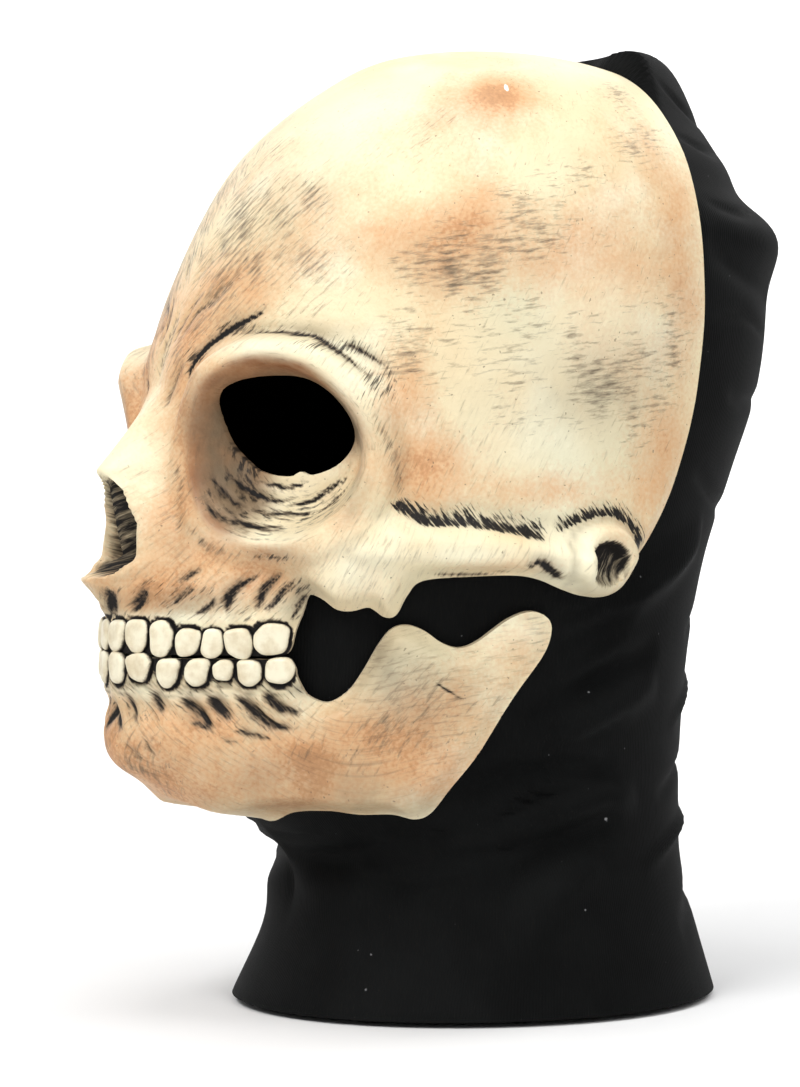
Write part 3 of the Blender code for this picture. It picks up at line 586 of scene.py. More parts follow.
print("deepest crease:", max(c.depth for c in CREASES.values()), "mm")

# %% [markdown]
# ## The tooth rows
# The real teeth are part of the casting: rounded, slightly uneven pegs in a dark gum. Here each
# row's bed is sunk a little into the casting, and the teeth are separate rounded forms set into
# it, so the dark line round each tooth is a real gap and not only paint.

# %% Tooth sizes and the bed under them
Tooth = namedtuple("Tooth", "near far top bottom taper")
UPPER_TEETH = (
    Tooth(0.2, 5.3, 8.650, 8.990, 0.10), Tooth(5.5, 10.9, 8.640, 8.990, 0.12),
    Tooth(11.2, 16.4, 8.655, 9.035, 0.22), Tooth(16.8, 21.0, 8.715, 9.030, 0.06),
    Tooth(21.3, 25.0, 8.735, 9.040, 0.00), Tooth(25.4, 30.2, 8.710, 9.050, 0.06),
    Tooth(30.5, 37.3, 8.665, 9.010, 0.15),
)
LOWER_TEETH = (
    Tooth(0.2, 5.8, 9.005, 9.365, 0.30), Tooth(5.9, 12.2, 9.005, 9.325, 0.32),
    Tooth(13.0, 17.8, 9.050, 9.370, 0.28), Tooth(18.6, 22.8, 9.045, 9.360, 0.22),
    Tooth(23.3, 26.9, 9.065, 9.295, 0.15), Tooth(27.2, 32.3, 9.065, 9.345, 0.25),
    Tooth(32.5, 38.6, 9.020, 9.335, 0.22),
)
ROW_END = 38.2
BED_DEPTH = 0.0009
BED_MARGIN = (0.25, 0.014)
GUM_REACH = 4.2
TOOTH_DEPTH = 0.0034
TOOTH_POWER = 2.8
NO_TOOTH = 9.0
ROWS_MEET = (8.86, 9.24)
LOWER_GUM = 9.2
ROOTS_END = 41


def tooth_field(azimuth, station, teeth, margin):
    """1 on a tooth's outline, less inside it: the ways across and down, each raised to one
    power and summed. The least over the row counts. The margin is added to each tooth."""
    field = np.full(len(station), NO_TOOTH)
    for tooth in teeth:
        down = (2 * station - tooth.top - tooth.bottom) / (tooth.bottom - tooth.top
                                                           + 2 * margin[1])
        wide = (tooth.far - tooth.near) / 2 * (1 - tooth.taper * (down + 1) / 2) + margin[0]
        across = (np.abs(azimuth) - (tooth.far + tooth.near) / 2) / wide
        field = np.minimum(field, np.abs(across) ** TOOTH_POWER + np.abs(down) ** TOOTH_POWER)
    return field


def tooth_bed(azimuth, station):
    """Depth share of the bed, its black paint and the grey of the gum. The bed runs round
    every tooth and fills the row where the two rows meet. The grey lies under the lower row."""
    below = tooth_field(azimuth, station, LOWER_TEETH, BED_MARGIN)
    field = np.minimum(tooth_field(azimuth, station, UPPER_TEETH, BED_MARGIN), below)
    on_row = smooth_step((ROW_END - np.abs(azimuth)) / 0.6)
    meeting = smooth_step((station - ROWS_MEET[0]) / 0.06) * on_row
    meeting *= smooth_step((ROWS_MEET[1] - station) / 0.05)
    bed = np.maximum(smooth_step((1.25 - field) / 0.35), meeting)
    black = np.maximum(smooth_step((1.62 - field) / 0.35), meeting)
    gum = smooth_step((GUM_REACH - below) / 1.4) * (1 - 0.8 * bell((below - 2.3) / 0.35))
    return bed, black, gum * on_row * (station > LOWER_GUM)


print("teeth in each half row:", len(UPPER_TEETH), "above and", len(LOWER_TEETH), "below")

# %% [markdown]
# Small uneven swellings keep the bone from looking turned on a lathe: the swollen part over
# each canine root, the ridge from the jaw's front edge up to its branch, and the wavy lower edge
# of the jaw.

# %% Small swellings
FINE_SPOTS = {
    "canine_root": Spot(17.5, 8.20, 0.030, 0.070, 0.12),
    "side_root": Spot(24.0, 8.25, 0.026, 0.060, 0.10),
    "cheek_pit": Spot(27.5, 7.98, 0.050, 0.030, -0.10),
    "brow_end": Spot(50.5, 6.25, 0.060, 0.040, 0.10),
    "temple_swell": Spot(60.0, 6.00, 0.140, 0.110, 0.06),
    "jaw_crest": Spot(47.0, 9.62, 0.050, 0.080, 0.16),
    "jaw_branch": Spot(60.0, 9.30, 0.080, 0.120, 0.10),
    "jaw_corner": Spot(58.0, 10.50, 0.080, 0.050, 0.12),
    "chin_side": Spot(18.0, 10.45, 0.060, 0.040, 0.14),
    "chin_dent": Spot(10.0, 10.20, 0.030, 0.040, -0.08),
    "jaw_dent": Spot(34.0, 10.35, 0.110, 0.045, -0.12),
    "forehead_boss": Spot(24.0, 3.70, 0.150, 0.130, 0.10),
}


def root_ridges(azimuth, station):
    """Rounded ridges of the tooth roots: a cosine across the row that leans with the station,
    between the gum and the roots' ends above and below."""
    turn = np.abs(azimuth)
    above = smooth_step((station - 8.05) / 0.3) * smooth_step((8.64 - station) / 0.08)
    below = smooth_step((station - 9.38) / 0.06) * smooth_step((9.95 - station) / 0.35)
    upper = np.cos(2 * math.pi * (turn + 14 * (station - 8.5)) / 5.6)
    lower = np.cos(2 * math.pi * (turn - 13 * (station - 9.5)) / 5.3)
    on_row = smooth_step((ROOTS_END - turn) / 4)
    return 0.5 * ROOT_RISE * on_row * (above * upper + below * lower)


def folded_over(points):
    """Mirror the left half's places to the right half, so that one table serves both."""
    return np.hstack([np.abs(points[:, :1]), points[:, 1:]])


def swellings(folded):
    """Height of every swelling and hollow: bone rise, times the spot's rise, times its bell."""
    spots = (*BONE_SPOTS.values(), *FINE_SPOTS.values())
    return sum(BONE_RISE * spot.rise * spot_height(folded, spot) for spot in spots)


def fine_casting(azimuth, station, border):
    """Painted face of a casting. The base is lifted along its normal by every swelling and
    lowered by every groove, moved forward by the nose, and sunk along each socket's axis."""
    base, normal = bone_base(azimuth, station, border)
    side = np.where(base[:, :1] < 0, -1.0, 1.0)
    folded = folded_over(base)
    rim, bowl = socket_relief(folded)
    height = swellings(folded) + rim + arch_relief(folded) + ear_relief(folded)
    height -= BED_DEPTH * tooth_bed(azimuth, station)[0]
    height += root_ridges(azimuth, station)
    for table in (CREASES, ROOTS):
        height -= crease_marks(np.abs(azimuth), station, table)[0]
    turn = math.radians(SOCKET_TURN)
    axis = side * np.array([[math.sin(turn), 0, 0]]) + np.array([[0, -math.cos(turn), 0]])
    forward = np.array([0, -1.0, 0]) * nose_relief(folded, station)[:, None]
    return base + normal * height[:, None] + forward - axis * bowl[:, None], normal


def eye_hole_gap(azimuth, station):
    """How far outside the eye hole a place lies: a rounded oval whose two terms are raised to
    the power 2.4 and summed, less 1. A small nick of latex stands up from its lower edge."""
    base = bone_base(azimuth, station, np.full_like(station, DEEP_INSIDE))[0]
    outward, upward, in_front = socket_place(folded_over(base))
    across = np.abs(outward + 0.05 * EYE_HOLE_WIDTH) / (EYE_HOLE_WIDTH / 2)
    up = (upward - EYE_HOLE_LIFT) / (EYE_HOLE_HEIGHT / 2)
    nick = EYE_HOLE_NICK * bell((outward - 0.02 * EYE_HOLE_WIDTH) / (0.05 * EYE_HOLE_WIDTH))
    return np.where(in_front, across ** 2.4 + np.abs(up - nick * (up < 0)) ** 2.4 - 1, 1)


print(len(FINE_SPOTS), "small swellings")

# %% [markdown]
# ## From the chart to a mesh
# The chart is laid out as a disc round the crown, which has no seam at the nape. The disc is
# cut along each outline: where a triangle crosses it, new points are put on the crossing.
# Boolean cutting would also work, but it leaves long thin triangles along the cut.

# %% Grids on the chart
GridStep = namedtuple("GridStep", "place step")
CAST_AZIMUTHS = (GridStep(0, 0.55), GridStep(60, 0.60), GridStep(66, 0.95), GridStep(112, 1.1),
                 GridStep(122, 3.0), GridStep(180, 3.0))
CAST_STATIONS = (GridStep(0, 0.09), GridStep(4.9, 0.09), GridStep(5.3, 0.036),
                 GridStep(JAW_LAST_STATION, 0.036))
HOOD_AZIMUTHS = (GridStep(0, 1.8), GridStep(180, 1.8))
HOOD_STATIONS = (GridStep(0, 0.075), GridStep(HEM_STATION, 0.075))


def grid_lines(steps, start, end):
    """Places from start to end, each a tabled step on from the one before."""
    places = [start]
    while places[-1] < end:
        here = places[-1]
        places.append(here + np.interp(here, [s.place for s in steps], [s.step for s in steps]))
    return np.array(places) * end / places[-1]


def all_round(steps):
    """The same azimuths on both sides of the head."""
    half = grid_lines(steps, 0.0, 180.0)
    return np.concatenate([half, -half[-2:0:-1]])


def chart_disc(azimuths, rings):
    """Disc places are the station times the sine and the minus cosine of the azimuth. A fan
    closes the crown, and rings of halved squares follow."""
    turn = np.radians(azimuths)
    spokes = np.stack([np.sin(turn), -np.cos(turn)], -1)
    disc = np.vstack([[(0.0, 0.0)], (rings[:, None, None] * spokes).reshape(-1, 2)])
    count = len(azimuths)
    here = np.arange(count)
    after = np.roll(here, -1)
    fan = np.stack([0 * here, here + 1, after + 1], -1)
    upper = (1 + np.arange(len(rings) - 1) * count)[:, None]
    a, b = upper + here, upper + after
    c, d = a + count, b + count
    first = np.stack([a, c, d], -1).reshape(-1, 3)
    second = np.stack([a, d, b], -1).reshape(-1, 3)
    return disc, np.vstack([fan, first, second])


def chart_of(disc):
    """Azimuth and station of places on the disc: the angle and the distance from the crown."""
    return np.degrees(np.arctan2(disc[:, 0], -disc[:, 1])), np.hypot(disc[:, 0], disc[:, 1])


def clip(disc, faces, gap):
    """Keep the faces where gap is positive. A face that gap = 0 crosses is cut at the share
    of its edges where a straight line between the two values is 0."""
    value = gap(*chart_of(disc))
    keep = value > 0
    count = keep[faces].sum(1)
    whole = faces[count == 3]
    cut = faces[(count == 1) | (count == 2)]
    odd = np.where(keep[cut].sum(1) == 1, keep[cut].argmax(1), (~keep[cut]).argmax(1))
    cut = np.take_along_axis(cut, (odd[:, None] + np.arange(3)) % 3, 1)
    pairs = np.sort(np.vstack([cut[:, [0, 1]], cut[:, [0, 2]]]), 1)
    pairs, place = np.unique(pairs, axis=0, return_inverse=True)
    place = place.reshape(2, -1) + len(disc)
    low, high = value[pairs[:, 0]], value[pairs[:, 1]]
    share = np.clip(low / (low - high), 0.08, 0.92)[:, None]
    new = disc[pairs[:, 0]] * (1 - share) + disc[pairs[:, 1]] * share
    tip = keep[cut[:, 0]]
    tips = np.stack([cut[tip, 0], place[0, tip], place[1, tip]], -1)
    first = np.stack([place[0, ~tip], cut[~tip, 1], cut[~tip, 2]], -1)
    second = np.stack([place[0, ~tip], cut[~tip, 2], place[1, ~tip]], -1)
    used, faces = np.unique(np.vstack([whole, tips, first, second]), return_inverse=True)
    return np.vstack([disc, new])[used], faces.reshape(-1, 3)


print("lines of azimuth on a casting:", len(all_round(CAST_AZIMUTHS)))

# %% Mesh with its chart and paint
CRISP_ANGLE = math.radians(60)
FACE_RADIUS = 0.58 * HOOD_WIDTH


def new_piece(name, points, faces, slots, layers, materials):
    """Object at the origin from arrays of points and faces. Each layer is a named value or
    vector at every point. The UV map is the layer called chart, without its third number.
    Edges that turn by more than the crisp angle are kept sharp."""
    mesh = bpy.data.meshes.new(name)
    mesh.from_pydata(points.tolist(), [], faces.tolist())
    for layer, values in layers.items():
        kind = "FLOAT_VECTOR" if values.ndim == 2 else "FLOAT"
        attribute = mesh.attributes.new(layer, kind, "POINT")
        attribute.data.foreach_set("vector" if values.ndim == 2 else "value",
                                   np.ascontiguousarray(values, np.float32).ravel())
    if "chart" in layers:
        corners = np.zeros(len(mesh.loops), np.int32)
        mesh.loops.foreach_get("vertex_index", corners)
        uv = mesh.uv_layers.new(name="chart_map")
        uv.data.foreach_set("uv", layers["chart"][corners][:, :2].astype(np.float32).ravel())
    for material in materials:
        mesh.materials.append(material)
    mesh.polygons.foreach_set("material_index", slots.astype(np.int32))
    mesh.shade_smooth()
    mesh.set_sharp_from_angle(angle=CRISP_ANGLE)
    mesh.update()
    piece = bpy.data.objects.new(name, mesh)
    bpy.context.collection.objects.link(piece)
    return piece


def with_wall(points, normals, faces, thickness, trimmed=None):
    """Closed wall from a sheet. The inner face is the outer one moved against the normals and
    turned round. Wherever an edge belongs to one face only, a strip joins the two. The strip
    is bare where the sheet was trimmed, and painted elsewhere."""
    count = len(points)
    edges = np.concatenate([faces[:, [0, 1]], faces[:, [1, 2]], faces[:, [2, 0]]])
    codes, back = edges[:, 0] * count + edges[:, 1], edges[:, 1] * count + edges[:, 0]
    lone = edges[~np.isin(codes, back)]
    first, second = lone[:, 0], lone[:, 1]
    strip = np.vstack([np.stack([second, first, first + count], -1),
                       np.stack([second, first + count, second + count], -1)])
    walled = np.vstack([faces, faces[:, ::-1] + count, strip])
    slot = np.ones(len(walled), int)
    slot[:len(faces)] = 0
    if trimmed is not None:
        slot[2 * len(faces):] = np.tile(trimmed[first], 2)
    return np.vstack([points, points - normals * thickness]), walled, slot


def chart_layer(azimuth, station):
    """Chart in metres for patterns that follow the surface: along, up, and a third number that
    gives each side of the head its own part of a noise."""
    return np.stack([np.radians(np.abs(azimuth)) * FACE_RADIUS, -station * STATION,
                     np.where(azimuth < 0, 0.7, 0.0)], -1)


print("pattern width of the face:", round(math.radians(90) * FACE_RADIUS, 4), "m")

# %% [markdown]
# ## Where the paint goes
# The real mask is dipped in ivory and finished by hand: tan from an airbrush, dark streaks
# dragged with a dry brush, and a thin black wash that is wiped off the high places and stays in
# the creases. Each of these becomes one number at every point, from 0 for none to 1 for full,
# and the material turns the numbers into paint. Numbers that sit on the mesh stay in place
# however the mask is turned, and need no picture file.

# %% Tables of the paint
Patch = namedtuple("Patch", "azimuth station wide tall amount")
TAN_PATCHES = (
    Patch(66, 2.35, 15, 0.55, 1.00), Patch(48, 3.00, 20, 0.70, 0.40),
    Patch(62, 4.45, 17, 0.65, 0.92), Patch(84, 4.70, 18, 0.70, 0.60),
    Patch(103, 4.30, 7, 1.60, 0.85), Patch(102, 7.00, 9, 0.90, 0.90),
    Patch(59, 7.00, 8, 0.45, 0.90), Patch(74, 7.22, 14, 0.26, 0.75),
    Patch(54, 6.20, 6, 0.70, 0.70), Patch(36, 4.50, 16, 0.50, 0.45),
    Patch(8, 5.70, 9, 0.70, 0.85), Patch(18, 5.00, 13, 0.60, 0.60),
    Patch(30, 3.90, 14, 0.50, 0.35), Patch(8, 3.40, 14, 0.70, 0.40),
    Patch(14, 6.40, 8, 0.80, 0.85), Patch(15, 7.20, 8, 0.70, 0.90),
    Patch(22, 7.95, 10, 0.50, 0.92), Patch(32, 8.10, 8, 0.40, 0.75),
    Patch(10, 8.35, 15, 0.30, 0.85), Patch(46, 7.50, 5, 0.25, 0.65),
    Patch(51, 8.00, 4, 0.30, 0.30), Patch(36, 7.85, 7, 0.20, 0.55),
    Patch(72, 8.02, 10, 0.12, 0.45), Patch(46, 6.90, 5, 0.50, 0.60),
    Patch(57, 10.05, 16, 0.55, 0.95), Patch(40, 10.20, 16, 0.55, 0.94),
    Patch(20, 9.85, 14, 0.45, 0.92), Patch(2, 9.95, 9, 0.60, 0.92),
    Patch(26, 10.45, 18, 0.40, 0.94), Patch(66, 9.45, 9, 0.45, 0.60),
    Patch(5, 10.50, 13, 0.45, 0.85), Patch(90, 7.75, 4, 0.15, 0.45),
    Patch(78, 9.00, 6, 0.40, 0.45), Patch(95, 5.90, 14, 0.60, 0.35),
)
STREAK_PATCHES = (
    Patch(58, 4.80, 12, 0.48, 0.80), Patch(72, 4.25, 14, 0.48, 0.66),
    Patch(90, 6.05, 11, 0.65, 0.70), Patch(101, 5.60, 6, 1.00, 0.64),
    Patch(99, 3.05, 10, 0.45, 0.68), Patch(82, 3.60, 13, 0.45, 0.45),
    Patch(72, 5.80, 15, 0.80, 0.46), Patch(54, 5.75, 7, 0.40, 0.68),
    Patch(104, 2.20, 9, 0.50, 0.52), Patch(70, 1.80, 16, 0.40, 0.42),
)
SLANT_PATCHES = (
    Patch(24, 4.05, 14, 0.65, 0.58), Patch(8, 4.40, 13, 0.70, 0.60),
    Patch(16, 4.90, 12, 0.50, 0.58), Patch(2, 3.40, 17, 0.70, 0.50),
    Patch(34, 5.00, 10, 0.45, 0.60), Patch(50, 3.05, 15, 0.45, 0.45),
    Patch(8, 5.60, 8, 0.45, 0.72), Patch(60, 9.60, 14, 0.70, 0.52),
    Patch(44, 9.90, 12, 0.60, 0.42), Patch(6, 10.20, 15, 0.60, 0.55),
    Patch(14, 7.30, 6, 0.60, 0.45),
)
# Grey paint, together with painted shade along the lower jaw and its rear branch, which face away
# from the light above.
GREY_AND_SHADE_PATCHES = (
    Patch(53, 9.05, 6, 0.40, 0.75), Patch(16, 6.45, 4, 0.40, 0.60),
    Patch(48, 7.30, 3, 0.35, 0.45), Patch(86, 6.10, 10, 0.45, 0.30),
    Patch(36, 5.50, 9, 0.13, 0.50), Patch(20, 5.40, 6, 0.16, 0.45),
    Patch(34, 7.93, 7, 0.10, 0.60), Patch(10, 8.45, 16, 0.16, 0.40),
    Patch(22, 8.45, 14, 0.14, 0.35), Patch(38, 8.55, 3, 0.25, 0.50),
    Patch(62, 9.40, 10, 0.55, 0.42), Patch(50, 10.65, 18, 0.22, 0.42),
    Patch(28, 10.75, 18, 0.16, 0.42), Patch(40, 9.36, 4, 0.10, 0.70),
    Patch(16, 7.75, 6, 0.30, 0.30), Patch(88, 8.30, 8, 0.10, 0.35),
    Patch(28, 10.40, 15, 0.36, 0.32), Patch(46, 10.40, 14, 0.30, 0.26),
    Patch(34, 4.60, 14, 0.35, 0.14), Patch(58, 4.70, 14, 0.45, 0.16),
    Patch(90, 6.05, 11, 0.60, 0.14), Patch(22, 4.00, 16, 0.60, 0.10),
    Patch(100, 4.20, 12, 1.20, 0.10), Patch(60, 2.60, 22, 0.60, 0.06),
    Patch(39.5, 8.38, 3, 0.25, 0.80),
)
FURROW_PATCHES = (
    Patch(20, 5.46, 5, 0.11, 0.75), Patch(42, 5.66, 8, 0.10, 0.72),
    Patch(29, 5.44, 7, 0.07, 0.55), Patch(34, 7.95, 5, 0.05, 0.80),
    Patch(12, 5.78, 4, 0.20, 0.62), Patch(50, 6.05, 4, 0.25, 0.60),
    Patch(39.5, 8.30, 2.5, 0.22, 0.62), Patch(40, 9.38, 4, 0.09, 0.55),
)
# Places wiped back to the ivory, together with painted highlights on the tops of the cheek bone,
# the brow roll and the cheek arch, where the light falls.
WIPED_AND_HIGHLIGHT_PATCHES = (
    Patch(50, 8.05, 7, 0.36, 0.85), Patch(30, 5.70, 13, 0.13, 0.75),
    Patch(68, 7.88, 12, 0.10, 0.55), Patch(86, 5.50, 14, 0.80, 0.50),
    Patch(76, 6.60, 12, 0.50, 0.45), Patch(30, 2.60, 22, 0.70, 0.50),
    Patch(20, 3.60, 14, 0.40, 0.35), Patch(100, 1.60, 30, 0.40, 0.40),
    Patch(30, 7.35, 8, 0.25, 0.50), Patch(14, 9.45, 20, 0.07, 0.65),
    Patch(16, 8.60, 18, 0.05, 0.50), Patch(56, 9.25, 6, 0.30, 0.35),
    Patch(80, 8.75, 4, 0.20, 0.45), Patch(4, 6.95, 5, 0.40, 0.45),
    Patch(90.5, 8.00, 7, 0.30, 0.50), Patch(36, 8.50, 3, 0.12, 0.50),
    Patch(47, 6.40, 3, 0.40, 0.40), Patch(30, 7.72, 8, 0.10, 0.55),
)
STRIAE_PATCHES = (
    Patch(51, 7.95, 9, 0.50, 0.75), Patch(62, 9.60, 14, 0.70, 0.90),
    Patch(44, 10.15, 16, 0.45, 0.65), Patch(20, 8.20, 18, 0.40, 0.65),
    Patch(20, 9.80, 18, 0.35, 0.60), Patch(46, 6.60, 7, 0.80, 0.75),
    Patch(32, 5.75, 16, 0.25, 0.45), Patch(14, 6.60, 8, 1.00, 0.60),
    Patch(12, 5.20, 14, 0.60, 0.60), Patch(72, 7.90, 14, 0.14, 0.50),
    Patch(80, 8.90, 6, 0.35, 0.75), Patch(54, 9.10, 6, 0.40, 0.80),
    Patch(8, 10.30, 14, 0.50, 0.50), Patch(66, 6.70, 14, 0.60, 0.30),
)
# One small white spot high on the side of the head.
WHITE_SPOT_PATCH = Patch(68, 2.20, 1.0, 0.10, 1.00)
LEAN_PLACE = (48.0, 9.0)
LEAN_REACH = 30.0
SKULL_LEANS = (45.0, 70.0)
JAW_LEANS = (-42.0, 8.0)
HATCH_EDGE = ((54.0, 7.33), (56.6, 7.46), (60.0, 7.56), (64.9, 7.56), (70.0, 7.60),
              (75.0, 7.66), (80.0, 7.74))
EAR_EDGE = ((81.5, 7.68), (84.6, 7.56), (89.5, 7.46), (94.0, 7.52), (98.2, 7.70),
            (99.4, 7.92), (97.8, 8.12))
print(len(TAN_PATCHES), "airbrushed patches on each side")

# %% Numbers at every point
def patch_sum(azimuth, station, patches):
    """One less the product of what each patch leaves bare. A patch is a bell curve of the
    degrees and stations from its middle."""
    bare = np.ones(len(station))
    for patch in patches:
        across = (np.abs(azimuth) - patch.azimuth) / patch.wide
        down = (station - patch.station) / patch.tall
        bare *= 1 - patch.amount * np.exp(-across ** 2 - down ** 2)
    return 1 - bare


def edge_strokes(azimuth, station, knots, reach):
    """Share 1 along a line on the chart, fading over the reach on its upper side and at once
    on its lower side."""
    line = smooth_line(knots, 5)
    gap, along = segment_distance(chart_flat(azimuth, station), line / (DEGREES_A_STATION, 1))
    edge = np.interp(np.abs(azimuth), line[:, 0], line[:, 1])
    below = np.clip((station - edge) / 0.05, 0, 1)
    return np.clip(1 - gap / (reach * (1 - 0.75 * below)), 0, 1) * smooth_step(
        np.minimum(along, 1 - along) / 0.12 + 0.25)


def grain_layer(azimuth, station, outward, upward, in_bowl, leans):
    """Places for brushed strokes, in metres: the first number runs along the grain. The chart
    is turned round one place by a lean that passes from the tooth rows' to the rear's. Inside
    an eye socket the first number is the bearing times the radius, so that strokes there run
    round the hole."""
    pivot = np.array([[LEAN_PLACE[0] / DEGREES_A_STATION, -LEAN_PLACE[1]]]) * STATION
    chart = chart_layer(azimuth, station)
    reach = np.stack([np.abs(chart[:, 0]), chart[:, 1]], -1) - pivot
    rear = smooth_step((np.abs(azimuth) - LEAN_PLACE[0]) / LEAN_REACH + 0.5)
    lean = np.radians(leans[0] + (leans[1] - leans[0]) * rear)
    along = reach[:, 0] * np.cos(lean) + reach[:, 1] * np.sin(lean)
    across = reach[:, 1] * np.cos(lean) - reach[:, 0] * np.sin(lean)
    radius = np.hypot(outward, upward)
    bearing = np.arctan2(upward, -outward)
    socket = in_bowl > 0.02
    along = np.where(socket, bearing * SOCKET_WIDTH * 0.45, along)
    across = np.where(socket, radius, across)
    return np.stack([along, across, chart[:, 2]], -1)


def paint_layers(azimuth, station, leans):
    """All the numbers of one casting, from its places on the chart."""
    base = folded_over(bone_base(azimuth, station, np.full_like(station, DEEP_INSIDE))[0])
    outward, upward, in_front = socket_place(base)
    away = np.hypot(outward, upward) / (SOCKET_WIDTH / 2)
    in_bowl = smooth_step((1.16 - away) / 0.22) * in_front
    upper_side = smooth_step((upward / SOCKET_WIDTH + 0.10) / 0.25)
    inner_side = smooth_step((-outward / SOCKET_WIDTH - 0.08) / 0.25)
    outer_side = smooth_step((outward / SOCKET_WIDTH - 0.18) / 0.25)
    lower_side = smooth_step((-upward / SOCKET_WIDTH - 0.12) / 0.12)

    tan = patch_sum(azimuth, station, TAN_PATCHES)
    # Inside each socket the tan is heavier on the upper and inner walls and lighter on the floor:
    # the socket's own paint, together with painted shade under the brow and painted light on the
    # floor, which faces up.
    deep = in_bowl * np.maximum(upper_side * (1 - 0.6 * outer_side), 0.9 * inner_side)
    tan = 1 - (1 - tan) * (1 - deep)
    tan *= 1 - 0.75 * in_bowl * lower_side

    marks = [crease_marks(np.abs(azimuth), station, table) for table in (CREASES, ROOTS)]
    creases, roots = marks
    _, black_bed, gum = tooth_bed(azimuth, station)
    ear = ear_away(base)
    # The ear hole is black paint, made heavier in its upper part as painted shade under the ring's
    # rim.
    above_ear = smooth_step((base[:, 2] - bone_place(*EAR_PLACE)[0][2]) / EAR_RING_WIDTH + 0.6)
    wash = np.maximum.reduce([
        creases[1], roots[1], 1.2 * black_bed,
        np.clip(2.2 * nose_cavity(base, station), 0, 0.78),
        smooth_step((0.96 - ear) / 0.20) * (0.45 + 0.65 * above_ear)])

    hatch = np.maximum(edge_strokes(azimuth, station, HATCH_EDGE, 0.27),
                       edge_strokes(azimuth, station, EAR_EDGE, 0.20))

    gums = smooth_step((station - 8.05) / 0.2) * smooth_step((8.70 - station) / 0.08)
    gums += smooth_step((station - 9.36) / 0.05) * smooth_step((9.95 - station) / 0.2)
    furrow = np.maximum.reduce([
        0.42 * in_bowl * lower_side * smooth_step((away - 0.50) / 0.15),
        0.66 * in_bowl * inner_side * smooth_step((0.95 - away) / 0.2),
        0.60 * in_bowl * upper_side * (1 - outer_side) * smooth_step((0.85 - away) / 0.2),
        patch_sum(azimuth, station, FURROW_PATCHES),
        0.32 * gums * smooth_step((ROOTS_END - np.abs(azimuth)) / 3),
        0.62 * gum])

    # Grey paint in the halos of creases, hatching and gum, together with painted shade: on the
    # inner and upper walls of each socket under the brow, and round the foot of the ear ring.
    shade = np.maximum.reduce([
        patch_sum(azimuth, station, GREY_AND_SHADE_PATCHES),
        0.92 * in_front * inner_side * smooth_step((1.10 - away) / 0.20),
        0.92 * in_front * upper_side * smooth_step((1.03 - away) / 0.16),
        0.60 * np.maximum(creases[2] * (away > 1.1), roots[2]),
        0.80 * gum, 0.50 * bell((ear - 1.62) / 0.16), 0.45 * hatch])
    # Brown on the upper and inner walls of each socket: the socket's own paint, together with
    # painted shade under the brow.
    brown = in_front * np.maximum(upper_side * (1 - 0.5 * outer_side), inner_side)
    brown *= smooth_step((1.17 - away) / 0.14)
    return {"chart": chart_layer(azimuth, station),
            "grain": grain_layer(azimuth, station, outward, upward, in_bowl, leans),
            # bare: wiped places together with painted highlights.
            "bare": patch_sum(azimuth, station, WIPED_AND_HIGHLIGHT_PATCHES),
            "nick": patch_sum(azimuth, station, (WHITE_SPOT_PATCH,)),
            "striae": np.maximum(patch_sum(azimuth, station, STRIAE_PATCHES),
                                 0.8 * in_bowl * lower_side),
            "tan": tan, "brown": brown, "wash": wash, "hatch": hatch, "furrow": furrow,
            "streak": patch_sum(azimuth, station, STREAK_PATCHES),
            "slant": patch_sum(azimuth, station, SLANT_PATCHES), "shade": shade}


def build_casting(name, gap, end_station, holes, leans, materials):
    """One casting: cut from the chart, shaped, painted and given its wall."""
    rings = grid_lines(CAST_STATIONS, 0.0, end_station)[1:]
    disc, faces = chart_disc(all_round(CAST_AZIMUTHS), rings)
    for cut in (gap,) + holes:
        disc, faces = clip(disc, faces, cut)
    azimuth, station = chart_of(disc)
    border = np.maximum(gap(azimuth, station), 0)
    points, normals = fine_casting(azimuth, station, border)
    points, faces, slots = with_wall(points, normals, faces, LATEX_WALL, border < 0.02)
    layers = {key: np.concatenate([values, values])
              for key, values in paint_layers(azimuth, station, leans).items()}
    print(name, len(faces), "faces")
    return new_piece(name, points, faces, slots, layers, materials)


print("a wash of 0 leaves the ivory bare and 1 is black")

# %% [markdown]
# ## Shared paint effects
# Two effects are used by several finishes, so each is a node group made once. Brush strokes are
# a noise stretched along one direction. The painted share lifts the noise over a threshold, so
# a light mask leaves a few thin strokes and a full mask closes them to a solid dark. Specks are
# the rare peaks of a very fine noise.

# %% Node helpers
def link_into(tree, socket, value):
    """Put a number, colour or vector on a socket, or link an output to it."""
    if hasattr(value, "is_output"):
        tree.links.new(value, socket)
    else:
        socket.default_value = value


def math_node(tree, operation, first, second=0.5, third=None):
    """One Math node, held between 0 and 1."""
    node = tree.nodes.new("ShaderNodeMath")
    node.operation = operation
    node.use_clamp = True
    for socket, value in zip(node.inputs, (first, second, third)):
        if value is not None:
            link_into(tree, socket, value)
    return node.outputs[0]


def plain_sum(tree, first, second):
    """Sum of two values that may leave the range from 0 to 1."""
    node = tree.nodes.new("ShaderNodeMath")
    link_into(tree, node.inputs[0], first)
    link_into(tree, node.inputs[1], second)
    return node.outputs[0]


def map_range(tree, value, low, high, to_low=0.0, to_high=1.0):
    """Straight line from low to high, held at its ends."""
    node = tree.nodes.new("ShaderNodeMapRange")
    for place, number in zip((0, 1, 2, 3, 4), (value, low, high, to_low, to_high)):
        link_into(tree, node.inputs[place], number)
    return node.outputs[0]


